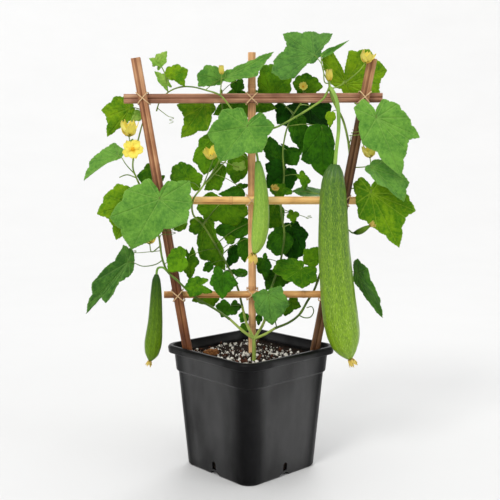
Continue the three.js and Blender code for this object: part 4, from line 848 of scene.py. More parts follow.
def keep_vectors(mesh: Mesh, name: str, values: Array) -> None:
    """Keeps a vector at each point of a mesh under a name."""
    layer = mesh.attributes.new(name, "FLOAT_VECTOR", "POINT")
    layer.data.foreach_set("vector", np.asarray(values, np.float32).ravel())


def keep_map(mesh: Mesh, name: str, values: Array) -> None:
    """Keeps two numbers at each point of a mesh as a UV map."""
    layer = mesh.uv_layers.new(name=name)
    corners = np.zeros(len(mesh.loops), int)
    mesh.loops.foreach_get("vertex_index", corners)
    layer.data.foreach_set("uv", np.asarray(values, np.float32)[corners].ravel())


def sheet(spots: Array, faces: Sequence, border: Sequence[int], thickness: float) -> tuple[Array, list]:
    """Closes an open sheet with a second face and a rim.

    Args:
        spots: the sheet's points, in metres.
        faces: its faces.
        border: the point numbers round its edge.
        thickness: its thickness, in millimetres.

    Returns:
        The points of both faces, and all the faces.
    """
    rise, offset = point_normals(spots, faces) * (thickness / 2 * MM), len(spots)
    skin = faces + [[point + offset for point in face[::-1]] for face in faces]
    for here, after in zip(border, [*border[1:], border[0]]):
        skin.append([here, here + offset, after + offset, after])
    return np.vstack([spots + rise, spots - rise]), skin


def ball(finer: int) -> Mesh:
    """A ball of radius 1, ready to be pushed into a lump; `finer` is how often its faces are split."""
    bpy.ops.mesh.primitive_ico_sphere_add(subdivisions=finer, radius=1.0)
    made = bpy.context.object
    mesh = made.data.copy()
    bpy.data.objects.remove(made)
    return mesh


def put(name: str, mesh: Mesh, nodes: Iterable[str]) -> Object:
    """Puts a finished piece into the scene in place of the solids that it dresses.

    Args:
        name: the piece's name.
        mesh: its mesh, in place.
        nodes: the solids that it stands for.

    Returns:
        The piece.
    """
    piece = linked(name, mesh)
    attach(piece, BODY)
    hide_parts(*nodes)
    LOG.info("%s: %d faces", name, len(mesh.polygons))
    return piece


@dataclass
class Strand:
    """A line of points with a thickness at each, which a section is swept along."""

    line: Array
    thick: Array
    closed: bool = False
    knots: Optional[Array] = None


class Section(Enum):
    """The outlines that are swept, as sides, ridges and how deep these are; a slat has its own."""

    STEM = (20, 5, 0.12)
    THIN = (8, 4, 0.0)
    FLUTED = (30, 5, 0.16)
    CULM = (32, 4, 0.0)
    TWINE = (12, 3, 0.22)
    SLAT = (0, 0, 0.0)

    def outline(self) -> Array:
        """The section's points, across and up, with a half-size of 1."""
        if self is Section.SLAT:
            return Slat.outline()
        sides, ridges, depth = self.value
        turn = np.arange(sides) / sides * math.tau
        reach = 1 - depth * 0.5 + depth * 0.5 * np.cos(ridges * turn)
        return np.column_stack([np.cos(turn) * reach, np.sin(turn) * reach])


class Slat:
    """The section of a split-bamboo slat: rounded edges and a shallow groove down its front."""

    width = 18.0
    depth = 13.5
    round = 3.0
    groove_depth = 1.6
    groove_half = 2.0

    @classmethod
    def outline(cls) -> Array:
        """The slat's outline in metres: depth and width, with its front at the low end of the depth."""
        half, deep, corner = cls.width / 2, cls.depth / 2, cls.round
        points = []
        for x, y, start in ((1, 1, 0), (-1, 1, 90), (-1, -1, 180), (1, -1, 270)):
            for step in range(6):
                turn = math.radians(start + step * 18)
                across = y * (half - corner) + corner * math.sin(turn)
                points.append((x * (deep - corner) + corner * math.cos(turn), across))
            if (x, y) == (-1, 1):
                for share in (1.6, 1.0, 0.6, 0.0, -0.6, -1.0, -1.6):
                    dip = cls.groove_depth * max(0.0, 1 - abs(share)) ** 0.8
                    points.append((dip - deep, share * cls.groove_half))
        return np.asarray(points) * MM


@functools.cache
def section_object(section: Section) -> Object:
    """A loop of edges that holds a section for the sweep; it is kept outside the scene."""
    outline = section.outline()
    mesh = bpy.data.meshes.new(f"section_{section.name.lower()}")
    count = len(outline)
    edges = [(i, (i + 1) % count) for i in range(count)]
    mesh.from_pydata(np.column_stack([outline, np.zeros(count)]).tolist(), edges, [])
    return bpy.data.objects.new(mesh.name, mesh)


def swept(
    name: str, strands: Sequence[Strand], section: Section, look: Enum, spacing: float,
    twist: float = 0.0, relief: float = 0.0, relief_scale: float = 60.0,
) -> Mesh:
    """Sweeps one section along several strands.

    Args:
        name: the mesh's name.
        strands: the lines, with their thickness.
        section: the outline that is swept.
        look: the look whose material it gets.
        spacing: the distance between rings, in metres.
        twist: the turn along the strand, in radians per metre.
        relief: the depth of uneven places, in metres.
        relief_scale: how many uneven places there are to a metre.

    Returns:
        One mesh of all strands.
    """
    source = bpy.data.meshes.new(name)
    points, edges, offset = [], [], 0
    for strand in strands:
        count = len(strand.line)
        points.append(strand.line)
        edges += [(offset + i, offset + i + 1) for i in range(count - 1)]
        if strand.closed:
            edges.append((offset + count - 1, offset))
        offset += count
    source.from_pydata(np.vstack(points).tolist(), edges, [])
    layer = source.attributes.new("thick", "FLOAT", "POINT")
    layer.data.foreach_set("value", np.concatenate([s.thick for s in strands]).astype(np.float32))
    knots = np.concatenate([s.knots if s.knots is not None else np.zeros(len(s.line)) for s in strands])
    keep_vectors(source, "knot", np.column_stack([knots, knots, knots]))
    values = {"Section": section_object(section), "Spacing": spacing, "Twist": twist, "Relief": relief,
              "Relief Scale": relief_scale, "Material": material_of(look)}
    return faced_out(sweep_plan(section is Section.SLAT).grow(name, source, values))


def tapered(line: Array, ends: Pair, size: float = 1.0) -> Strand:
    """A strand that thins evenly from one half-thickness to another, both in millimetres times `size`."""
    first, last = ends[0] * size, ends[1] * size
    share = lengths_of(line) / max(lengths_of(line)[-1], 1e-9)
    return Strand(line, (first + (last - first) * share) * MM)


# Pot


@dataclass
class Pot:
    """A square nursery pot with a folded lip, a banded top and a drain hole in each side."""

    yaw: float = math.radians(42.97)
    corner_steps: int = 14
    fillet: float = 1.3
    outside: tuple[Triple, ...] = (
        (93.5, 24, 0), (96, 26, 3), (109.5, 28, 189), (113, 29, 193), (115.5, 29, 226), (124, 30, 227.5),
        (125, 30, 238), (122.5, 29, 242),
    )
    inside: tuple[Triple, ...] = (
        (116.5, 26, 242), (112.5, 26, 226), (110, 25, 194), (106.5, 25, 188), (93, 22, 3),
    )
    hole_half: float = 5.0
    hole_low: float = 11.0
    hole_high: float = 27.0
    notch_half: float = 13.0
    notch_height: float = 7.0
    notch_depth: float = 10.0
    notch_wall: float = 2.5
    spare: float = 15.0
    sharp_over: float = math.radians(38)

    def ring(self, half: float, corner: float, z: float, scale: float = 1.0) -> Array:
        """One rounded square round the pot.

        Args:
            half: half of the side, in millimetres.
            corner: the corner's radius, in millimetres.
            z: the height, in millimetres.
            scale: a share by which the square is drawn in.

        Returns:
            The ring's points, in metres.
        """
        side, step = np.meshgrid(np.arange(4), np.linspace(0, 1, self.corner_steps), indexing="ij")
        turn = (side + step).ravel() * math.pi / 2
        middle = (side.ravel() + 0.5) * math.pi / 2
        reach = (half - corner) * math.sqrt(2)
        x = (reach * np.cos(middle) + corner * np.cos(turn)) * scale
        y = (reach * np.sin(middle) + corner * np.sin(turn)) * scale
        cos, sin = math.cos(self.yaw), math.sin(self.yaw)
        return np.column_stack([x * cos - y * sin, x * sin + y * cos, np.full(x.shape, z)]) * MM

    def filleted(self, profile: Sequence[Triple]) -> list[Array]:
        """The profile with each of its corners rounded by a short arc."""
        row = [np.asarray(point, float) for point in profile]
        rounded = [row[0]]
        for before, here, after in zip(row, row[1:], row[2:]):
            back, ahead = before - here, after - here
            reach = min(self.fillet, np.linalg.norm(back) / 2.5, np.linalg.norm(ahead) / 2.5)
            start = here + back / np.linalg.norm(back) * reach
            end = here + ahead / np.linalg.norm(ahead) * reach
            for share in (0.0, 0.33, 0.67, 1.0):
                rounded.append(start * (1 - share) ** 2 + here * 2 * share * (1 - share) + end * share ** 2)
        return [*rounded, row[-1]]

    def inner_half(self, z: float) -> Pair:
        """Half the inner side and the corner's radius at a height, in millimetres."""
        rows = np.asarray(self.inside[::-1])
        return float(np.interp(z, rows[:, 2], rows[:, 0])), float(np.interp(z, rows[:, 2], rows[:, 1]))

    def side_block(self, side: int, outer: float, depth: float, outline: Sequence) -> Object:
        """A block against the middle of one side, with an outline of across and up.

        Args:
            side: which side, from 0 to 3.
            outer: how far its outer end is from the middle, in millimetres.
            depth: how far it goes in, in millimetres.
            outline: its corners, across and up, in millimetres.

        Returns:
            The block.
        """
        rings = np.array([[(x, across, up) for across, up in outline] for x in (outer - depth, outer)]) * MM
        turn = Matrix.Rotation(self.yaw + side * math.pi / 2, 3, "Z")
        rings = rings @ np.array(turn).T
        return linked("drain_block", closed_rings("drain_block", rings, [Look.PLASTIC]))

    def cut(self, body: Object) -> None:
        """Adds the alcoves at the drains, and cuts the notch under them and the hole over them."""
        base, half, wall = self.outside[0][0], self.notch_half, self.notch_wall
        turns = np.linspace(0, math.pi, 13)
        arch = [(half * math.cos(t), self.notch_height * math.sin(t) ** 0.8) for t in turns]
        alcove = [(-half - wall, 0.0), (half + wall, 0.0)]
        alcove += [(x * (1 + wall / half), y + wall) for x, y in arch]
        notch = [(-half, -5.0), (half, -5.0), *arch]
        bow, middle = self.hole_half, self.hole_high - self.hole_half
        hole = [(-bow, self.hole_low), (bow, self.hole_low)]
        hole += [(bow * math.cos(t), middle + bow * math.sin(t)) for t in np.linspace(0, math.pi, 9)]
        steps = [("UNION", base, self.notch_depth + wall, alcove),
                 ("DIFFERENCE", base + self.spare, self.notch_depth + self.spare, notch),
                 ("DIFFERENCE", base + self.spare, 2 * self.spare, hole)]
        for side in range(4):
            for way, outer, depth, outline in steps:
                block = self.side_block(side, outer, depth, outline)
                modifier = body.modifiers.new("drain", "BOOLEAN")
                modifier.operation, modifier.object, modifier.solver = way, block, "EXACT"
                whole, body.data = body.data, finished(body)
                body.modifiers.clear()
                bpy.data.meshes.remove(whole)
                bpy.data.objects.remove(block)

    def build(self) -> Object:
        """Builds the pot in place of its solid."""
        profile = self.filleted([*self.outside, *self.inside])
        rings = np.array([self.ring(*point) for point in profile])
        body = linked("pot_body", closed_rings("pot_body", rings, [Look.PLASTIC]))
        self.cut(body)
        mesh = body.data
        bpy.data.objects.remove(body)
        mesh.set_sharp_from_angle(angle=self.sharp_over)
        return put("pot_shell", mesh, ["pot"])


# Soil


@dataclass
class SoilBed:
    """Peat with perlite, bark chips and crumbs on its uneven top."""

    pot: Pot
    level: float = 221.0
    bottom: float = 12.5
    gap: float = 0.35
    rings: int = 44
    clod: Triple = (-78.0, 22.0, 13.0)
    kinds: int = 4
    patches: float = 26.0
    seed: int = 7

    def height(self, x: Array, y: Array) -> Array:
        """The height of the soil at a place, all in millimetres."""
        swell = 3 * np.sin(x / 31 + 0.6) * np.cos(y / 27)
        ripple = 1.6 * np.sin(x / 11) * np.sin(y / 9 + 1)
        lumps = [1.5 * noise.noise(Vector((a / 9, b / 9, 1.5)))
                 + 0.9 * noise.noise(Vector((a / 3.5, b / 3.5, 6)))
                 for a, b in zip(np.ravel(x), np.ravel(y))]
        return self.level + swell + ripple + np.reshape(lumps, np.shape(x))

    def top_rings(self, scales: Sequence[float]) -> Array:
        """Rings of the top, from the wall inwards, in metres."""
        half, corner = self.pot.inner_half(self.level - 4)
        rings = []
        for scale in scales:
            ring = self.pot.ring(half - 2 * self.gap, corner, 0, scale)
            ring[:, 2] = self.height(ring[:, 0] / MM, ring[:, 1] / MM) * MM
            rings.append(ring)
        return np.array(rings)

    def bed(self) -> Object:
        """The body of soil that fills the pot."""
        walls = []
        for z in (self.bottom, 188, 194):
            half, corner = self.pot.inner_half(z)
            walls.append(self.pot.ring(half - self.gap, corner, z))
        top = self.top_rings(np.linspace(1, 0.02, self.rings))
        mesh = closed_rings("soil_bed", np.vstack([np.array(walls), top]), [Look.PEAT])
        return put("soil_bed", mesh, ["soil"])

    def surface(self) -> Mesh:
        """An open copy of the top that grains are strewn over."""
        top = self.top_rings(np.linspace(0.96, 0.04, 22))
        faces = grid_faces(len(top), top.shape[1]).tolist()
        mesh = mesh_from("soil_top", top.reshape(-1, 3), faces)
        if mesh.polygons[0].normal.z < 0:
            mesh.flip_normals()
        return mesh

    def grains(self, name: str, shape: Triple, rough: float, finer: int) -> Collection:
        """A few odd lumps of one kind.

        Args:
            name: the kind's name.
            shape: length, width and thickness as shares of the grain's size.
            rough: how uneven a grain is.
            finer: how often the faces of the first solid are split.

        Returns:
            A collection of the lumps, outside the scene.
        """
        group = bpy.data.collections.new(name)
        for kind in range(self.kinds):
            mesh = ball(finer)
            for point in mesh.vertices:
                push = noise.noise(point.co * 1.3 + Vector((kind * 7.0, self.seed, 3.0)))
                point.co *= 1 + rough * push
                point.co = Vector(a * b for a, b in zip(point.co, shape))
            group.objects.link(bpy.data.objects.new(f"{name}_{kind}", mesh))
        return group

    def strew(self, name: str, group: Collection, look: Look, density: float,
              sizes: Pair, rise: float, seed: int, bare: float = 0.2) -> Object:
        """Strews grains over the top.

        Args:
            name: the piece's name.
            group: the lumps that are strewn.
            look: their look.
            density: grains to the square metre.
            sizes: the smallest and the largest half-size, in millimetres.
            rise: how far their middles stand over the soil, in millimetres.
            seed: the draw.
            bare: how much of the top they leave bare, from 0.2 for none to 0.6 for most of it.

        Returns:
            The piece.
        """
        values = {"Grains": group, "Material": material_of(look), "Seed": seed, "Density": density,
                  "Patches": self.patches, "Bare": bare, "Rise": rise * MM,
                  "Smallest": sizes[0] * MM, "Largest": sizes[1] * MM}
        mesh = scatter_plan().grow(name, self.surface(), values)
        for lump in list(group.objects):
            bpy.data.objects.remove(lump)
        bpy.data.collections.remove(group)
        return put(name, mesh, ["soil"])

    def lump(self) -> Object:
        """The clod of fibrous peat at the left."""
        x, y, radius = self.clod
        mesh = ball(4)
        foot = Vector((x, y, float(self.height(np.array([x]), np.array([y]))[0])))
        for point in mesh.vertices:
            push = 1 + 0.3 * noise.noise(point.co * 1.6) + 0.16 * noise.noise(point.co * 6)
            stretch = Vector((1.3 * radius, radius, 0.65 * radius))
            point.co = (foot + Vector(a * b * push for a, b in zip(point.co, stretch))) * MM
        mesh.materials.append(material_of(Look.CLOD))
        mesh.shade_smooth()
        return put("soil_clod", mesh, ["soil"])

    def build(self) -> None:
        """Builds the soil and all that lies on it."""
        self.bed()
        self.lump()
        crumbs = self.grains("crumb_kinds", (1.0, 0.8, 0.6), 0.5, 1)
        self.strew("soil_crumbs", crumbs, Look.CRUMB, 21000, (0.9, 2.6), 0.3, 11)
        perlite = self.grains("perlite_kinds", (1.0, 0.85, 0.8), 0.45, 2)
        self.strew("soil_perlite", perlite, Look.PERLITE, 9000, (1.4, 3.6), 0.9, 23, 0.42)
        fines = self.grains("perlite_fines", (1.0, 0.9, 0.8), 0.4, 1)
        self.strew("soil_perlite_fines", fines, Look.PERLITE, 17000, (0.7, 1.5), 0.6, 29, 0.4)
        chips = self.grains("chip_kinds", (1.0, 0.5, 0.22), 0.6, 2)
        self.strew("soil_bark", chips, Look.BARK, 1100, (4.5, 8.5), 1.0, 5)


# Trellis


@dataclass
class Cane:
    """One cane of the trellis, or a slat where it has no radius. Knots are shares of its length."""

    name: str
    path: tuple[Triple, ...]
    look: Look
    radius: float = 0.0
    knots: tuple[float, ...] = ()
    knot_reach: float = 5.0
    knot_swell: float = 0.09
    round_share: float = 0.985
    relief: float = 0.5
    sharp_over: float = math.radians(50)

    def build(self) -> Object:
        """Sweeps the cane in place of its solid."""
        line = evenly(smooth_route(spot_of(self.path)), 2 * MM)
        share = lengths_of(line) / lengths_of(line)[-1]
        reach = self.knot_reach * MM / lengths_of(line)[-1]
        marks = np.zeros(len(line))
        swell = np.zeros(len(line))
        for knot in self.knots:
            away = np.abs(share - knot) / reach
            swell = np.maximum(swell, np.clip(1 - away, 0, 1) ** 1.5)
            marks = np.maximum(marks, np.clip(1 - np.abs(away - 0.45) / 0.35, 0, 1))
        if self.radius:
            thick = self.radius * MM * self.round_share * (1 + self.knot_swell * swell)
            section, spacing, bumps, slot = Section.CULM, 2 * MM, 24, "bamboo_cane"
        else:
            thick = np.ones(len(line))
            section, spacing, bumps, slot = Section.SLAT, 4 * MM, 45, "split_bamboo"
        strand = Strand(line, thick, knots=marks)
        mesh = swept(self.name, [strand], section, self.look, spacing, 0.0, self.relief * MM, bumps)
        mesh.set_sharp_from_angle(angle=self.sharp_over)
        return put(f"{self.name}_wood", mesh, [self.name])


@dataclass
class Lashing:
    """Twine wound crosswise round the crossing of two canes."""

    name: str
    at: Pair
    lean: float
    front: float
    back: float
    half_width: float = 9.0
    room: float = 2.5
    seat: float = 1.05
    corner: float = 3.0
    radius: float = 1.3
    lay: float = 9.0

    def loop(self, slant: float) -> Array:
        """The middle line of one turn of twine in the upright plane through a slanting line."""
        along = np.array([math.cos(slant), 0.0, math.sin(slant)])
        upright = abs(math.sin(slant - math.radians(90 + self.lean)))
        half = self.half_width / min(upright, abs(math.sin(slant))) + self.room
        near, far, cut = self.front - self.seat, self.back + self.seat, self.corner
        corners = [(half, near + cut), (half, far - cut), (half - cut, far), (cut - half, far),
                   (-half, far - cut), (-half, near + cut), (cut - half, near), (half - cut, near)]
        centre = np.array([self.at[0], 0.0, self.at[1]])
        spots = np.array([centre + along * s + np.array([0.0, y, 0.0]) for s, y in corners]) * MM
        for _ in range(3):
            after = np.roll(spots, -1, axis=0)
            quarters = [0.75 * spots + 0.25 * after, 0.25 * spots + 0.75 * after]
            spots = np.stack(quarters, axis=1).reshape(-1, 3)
        return spots

    def build(self) -> Object:
        """Lays the twine in place of its solid."""
        slant = math.radians(45 + self.lean / 2)
        lines = [self.loop(turn) for turn in (slant, slant + math.pi / 2)]
        strands = [Strand(line, np.full(len(line), self.radius * MM), closed=True) for line in lines]
        twist = math.tau / (self.lay * MM)
        mesh = swept(self.name, strands, Section.TWINE, Look.TWINE, 0.9 * MM, twist)
        return put(f"{self.name}_twine", mesh, [self.name])


@dataclass
class Trellis:
    """Two leaning uprights, a middle cane and three bars, lashed at their nine crossings."""

    upright_y: float = -14.8
    upright_front: float = -21.55

    def canes(self) -> list[Cane]:
        """The canes and where they run."""
        y = self.upright_y
        return [
            Cane("cane_left", ((-96, y, 66), (-124, y, 235), (-218, y, 797)), Look.LEFT_SLAT),
            Cane("cane_right", ((95, y, 66), (126, y, 235), (230, y, 796)), Look.RIGHT_SLAT),
            Cane("bar_top", ((-243, -0.75, 722), (252, -0.75, 724)), Look.SLAT),
            Cane("cane_centre", ((4, 19, 60), (3, 17, 235), (3, 15.7, 342), (2, 16.2, 527), (2, 14.8, 722),
                                 (2, 14.6, 811)), Look.CANE, 7.7, (0.29, 0.39, 0.795, 0.915)),
            Cane("bar_middle", ((-196, 0, 527), (208, 0, 527)), Look.PALE_BAR, 7.75, (0.39, 0.85)),
            Cane("bar_bottom", ((-170, -0.75, 342), (172, -0.75, 343)), Look.BAR, 7, (0.33, 0.8)),
        ]

    def lashings(self) -> list[Lashing]:
        """The lashings and what each wraps."""
        front = self.upright_front
        return [
            Lashing("tie_top_left", (-205.5, 722), 9.5, front, 6),
            Lashing("tie_top_centre", (2, 723), 0, -7.5, 22),
            Lashing("tie_top_right", (216.3, 724), -10.5, front, 6),
            Lashing("tie_middle_left", (-172.8, 527), 9.5, front, 7.3),
            Lashing("tie_middle_centre", (2, 527), 0, -7.3, 23.4),
            Lashing("tie_middle_right", (180, 527), -10.5, front, 7.3),
            Lashing("tie_bottom_left", (-141.9, 342), 9.5, front, 5.8),
            Lashing("tie_bottom_centre", (3, 342.5), 0, -7.3, 23.5),
            Lashing("tie_bottom_right", (145.8, 343), -10.5, front, 5.8),
        ]

    def build(self) -> None:
        """Builds every cane and lashing."""
        for part in [*self.canes(), *self.lashings()]:
            part.build()


# Leaves

LOBES = ((-150, 0.54), (-98, 0.7), (-48, 0.86), (0, 1), (48, 0.86), (98, 0.7), (150, 0.54))
SMALL_LOBES = ((-135, 0.6), (-62, 0.8), (0, 1), (62, 0.8), (135, 0.6))
SMALL_LEAF = 50.0


def at_angle(angle: float, reach: float) -> Array:
    """The flat point at an angle in degrees and a distance from the middle."""
    return reach * np.array([math.cos(math.radians(angle)), math.sin(math.radians(angle))])


@dataclass
class Leaf:
    """One leaf: the place of its stalk, its tip, where its face looks, and its tone, which paints the light
    or shade on it, or is a young leaf's own paler colour.

    The face is an azimuth from the front and an elevation, in degrees. Each lobe is its angle from
    the middle lobe and its reach. The fold lifts both halves, the bend arches the blade, and wide
    stretches it. Start and via guide the leaf's stalk.
    """

    at: Triple
    tip: Triple
    face: Pair
    tone: Tone
    lobes: Optional[tuple[Pair, ...]] = None
    fold: float = 0.1
    bend: float = 0.1
    wide: float = 1.0
    start: Optional[Triple] = None
    via: tuple[Triple, ...] = ()

    # Shares of the leaf's length and degrees; the rings, the blade and its teeth are in millimetres
    LOBE_DEPTH = 0.27
    LOBE_SPAN = 26.0
    LOBE_POWER = 0.9
    NOTCH_SHARE = 0.6
    NOTCH_DEPTH = 0.08
    SINUS = 0.1
    SHOULDER = 0.45
    WIDE_GAP = 240.0
    SOFT_FOLD = 0.08
    WAVE = (0.05, 3.2)
    PILLOWS = 7
    PILLOW_RISE = 0.005
    GROOVE = (0.011, 0.018)
    RIPPLE = (0.02, 9)
    RING_STEP = 5.2
    BLADE = 0.45
    TOOTH_PITCH = 6.5
    TOOTH_DEPTH = 1.3
    TOOTH_CURVE = 1.2
    TOOTH_FADE = 6
    BOW_SCALE = 6.75

    def frame(self) -> tuple[Array, Array, float, Array, Array]:
        """The leaf's foot, axis, length, normal and side, in millimetres."""
        foot = np.asarray(self.at, float)
        axis = np.asarray(self.tip, float) - foot
        length = float(np.linalg.norm(axis))
        axis /= length
        azimuth, elevation = (math.radians(angle) for angle in self.face)
        level = math.cos(elevation)
        look = np.array([math.sin(azimuth) * level, -math.cos(azimuth) * level, math.sin(elevation)])
        normal = look - axis * look.dot(axis)
        normal /= np.linalg.norm(normal)
        return foot, axis, length, normal, np.cross(normal, axis)

    def all_lobes(self) -> tuple[Pair, ...]:
        """The leaf's own lobes, or those usual for its size."""
        small = math.dist(self.at, self.tip) < SMALL_LEAF
        return self.lobes or (SMALL_LOBES if small else LOBES)

    def gap(self) -> float:
        """The angle at which the stalk comes in."""
        lobes = self.all_lobes()
        return (lobes[0][0] + 360 + lobes[-1][0]) / 2

    def notch(self, lobe: Pair, after: Pair) -> Pair:
        """The deepest point of the border between two lobes.

        Args:
            lobe: the one tip.
            after: the next tip.

        Returns:
            A place nearer to the shorter lobe and a little inside the line between the tips.
        """
        near, far = sorted((at_angle(*lobe), at_angle(*after)), key=np.linalg.norm)
        spot = self.NOTCH_SHARE * near + (1 - self.NOTCH_SHARE) * far
        size = float(np.linalg.norm(spot))
        reach = max(self.SINUS, size - self.NOTCH_DEPTH * float(np.linalg.norm(far - near)))
        angle = math.degrees(math.atan2(spot[1], spot[0]))
        middle = (lobe[0] + after[0]) / 2
        return angle + 360 * round((middle - angle) / 360), reach

    def shoulder(self, lobe: Pair, gap: float) -> Pair:
        """The point of the border between an outer lobe and the gap at the stalk."""
        half = gap - lobe[0]
        angle = lobe[0] + half * min(self.SHOULDER, 2 * abs(half) / self.WIDE_GAP)
        fall = self.LOBE_DEPTH * (abs(angle - lobe[0]) / self.LOBE_SPAN) ** self.LOBE_POWER
        return angle, max(self.SINUS, lobe[1] * (1 - fall))

    def corners(self) -> list[tuple[float, float, float]]:
        """The border's corners as angle, reach and how much the edge after it bows out."""
        lobes, found = self.all_lobes(), []
        for lobe, after in zip(lobes, lobes[1:]):
            found += [(*lobe, 0.075), (*self.notch(lobe, after), 0.075)]
        gap, first, last = self.gap(), (lobes[0][0] + 360, lobes[0][1]), lobes[-1]
        found += [(*last, 0.1), (*self.shoulder(last, gap), 0.06), (gap, self.SINUS, 0.06)]
        return [*found, (*self.shoulder(first, gap), 0.1)]

    def border(self, length: float) -> tuple[Array, Array]:
        """The fine border, smooth and with teeth, in shares of the leaf's length."""
        corners = self.corners()
        smooth, toothed = [], []
        for (angle, reach, bow), (next_angle, next_reach, _) in zip(corners, [*corners[1:], corners[0]]):
            start, end = at_angle(angle, reach), at_angle(next_angle, next_reach)
            edge = end - start
            size = float(np.linalg.norm(edge))
            out = np.array([edge[1], -edge[0]]) / max(size, 1e-9)
            out *= math.copysign(1.0, out.dot(start + end))
            teeth = max(1, round(size * length / self.TOOTH_PITCH))
            rising = next_reach > reach
            for step in range(teeth * 3):
                share = step / (teeth * 3)
                from_tip = share if reach > next_reach else 1 - share
                swing = bow * size * self.BOW_SCALE * from_tip ** 2 * (1 - from_tip)
                spot = start + edge * share + out * swing
                phase = step % 3 / 3 if rising else (1 - (step % 3) / 3) % 1
                height = phase ** self.TOOTH_CURVE * self.TOOTH_DEPTH / length
                fade = min(1.0, self.TOOTH_FADE * share, self.TOOTH_FADE * (1 - share))
                smooth.append(spot)
                toothed.append(spot + out * height * fade)
        return np.array(smooth), np.array(toothed)

    def lifted(self, flat: Array, quilt: bool = True) -> Array:
        """Places on the blade, in metres, of points that are shares of the length along and across."""
        foot, axis, length, normal, side = self.frame()
        along, out = flat[:, 0], flat[:, 1]
        reach, turn = np.hypot(along, out), np.arctan2(out, along)
        across = out * self.wide
        wave = self.WAVE[0] * reach * np.sin(self.WAVE[1] * turn + self.at[0])
        folded = self.fold * (np.hypot(across, self.SOFT_FOLD) - self.SOFT_FOLD)
        raised = folded + self.bend * along * (1 - along) + wave
        if quilt:
            away, beside = self.veins(flat)
            pillow = np.cos(math.tau * self.PILLOWS * (beside - away)) * np.clip(reach * 1.4, 0, 1)
            groove = np.exp(-((away / self.GROOVE[1]) ** 2))
            raised = raised - self.PILLOW_RISE * pillow - self.GROOVE[0] * groove
            raised = raised + self.RIPPLE[0] * reach ** 2 * np.sin(self.RIPPLE[1] * turn + self.tip[0])
        spots = foot + np.outer(along * length, axis) + np.outer(raised * length, normal)
        spots += np.outer(across / math.hypot(1, self.fold) * length, side)
        return spots * MM

    def veins(self, flat: Array) -> tuple[Array, Array]:
        """For points of the blade, the distance from the nearest main vein and the length along it."""
        reach, turn = np.hypot(flat[:, 0], flat[:, 1]), np.arctan2(flat[:, 1], flat[:, 0])
        angles = np.radians([angle for angle, _ in self.all_lobes()])
        swing = (turn[:, None] - angles[None, :] + math.pi) % math.tau - math.pi
        nearest = np.abs(swing).min(axis=1)
        near = np.minimum(nearest, math.pi / 2)
        return reach * np.sin(near), reach * np.cos(near)

    def blade(self) -> tuple[Array, list, Array, Array]:
        """The leaf's thin closed blade.

        Returns:
            Its points in metres, its faces, its vein map, and its underside, tint and rim values.
        """
        length = self.frame()[2]
        smooth, toothed = self.border(length)
        rings = max(5, round(length / self.RING_STEP))
        shares = np.arange(1, rings + 1) / rings
        flat = np.vstack([[[0.0, 0.0]], *[smooth * share for share in shares[:-1]], toothed])
        count = len(smooth)
        spots = self.lifted(flat)
        faces = [[0, 1 + j, 1 + (j + 1) % count] for j in range(count)]
        faces += (grid_faces(rings, count)[:, ::-1] + 1).tolist()
        total = len(spots)
        both, skin = sheet(spots, faces, range(total - count, total), self.BLADE)
        veins = np.column_stack(self.veins(flat))
        tint = np.full(total, (math.sin(self.at[0] * 12.9 + self.at[2] * 4.7) + 1) * 0.5)
        rim = np.concatenate([[0.0], np.repeat(shares, count)])
        sides = [np.column_stack([np.full(total, under), tint, rim]) for under in (0.0, 1.0)]
        return both, skin, np.vstack([veins, veins]), np.vstack(sides)

    def stalk(self, lines: Sequence[Array]) -> Optional[Array]:
        """The line of the leaf's stalk from the nearest stem, or None where the blade sits on it."""
        end = self.lifted(at_angle(self.gap(), self.SINUS * 0.6)[None, :], quilt=False)[0]
        foot = spot_of(self.at)
        goal = spot_of(self.start) if self.start else end
        stems = np.vstack(lines)
        cost = np.linalg.norm(stems - goal, axis=1) + 0.3 * np.maximum(0, stems[:, 2] - goal[2])
        start = stems[int(np.argmin(cost))]
        span = float(np.linalg.norm(start - end))
        if span < 3 * MM:
            return None
        middle = (start + end) / 2 + np.array([0, 0, span * 0.06])
        way = spot_of(self.via) if self.via else middle[None, :]
        return smooth_route(np.vstack([start, way, end, foot]))


def point_normals(spots: Array, faces: Sequence) -> Array:
    """The outward direction at each point of an open sheet."""
    total = np.zeros_like(spots)
    for sides in (3, 4):
        chosen = np.array([face for face in faces if len(face) == sides])
        if len(chosen) == 0:
            continue
        first, second, third, last = (spots[chosen[:, corner]] for corner in (0, 1, 2, -1))
        ways = (third - first, last - second) if sides == 4 else (second - first, third - first)
        for corner in range(sides):
            np.add.at(total, chosen[:, corner], np.cross(*ways))
    size = np.linalg.norm(total, axis=1, keepdims=True)
    return total / np.maximum(size, 1e-12)


# Runners


@dataclass
class Tendril:
    """A thin shoot that leads off and then coils, or turns round an upright."""

    start: Triple
    centre: Triple
    radius: Pair
    rise: float
    turns: float
    angle: float
    lean: float = 0.0
    steps: int = 5

    def line(self) -> Array:
        """The tendril's line, in metres."""
        points = [self.start]
        for i in range(round(self.turns * self.steps) + 1):
            turn = math.radians(self.angle) + i / self.steps * math.tau
            reach = self.radius[0] + (self.radius[1] - self.radius[0]) * min(1.0, i / self.steps)
            climb = self.rise * i / self.steps
            x = self.centre[0] + self.lean * climb + reach * math.cos(turn)
            points.append((x, self.centre[1] + reach * math.sin(turn), self.centre[2] + climb))
        return smooth_route(spot_of(points), 10)


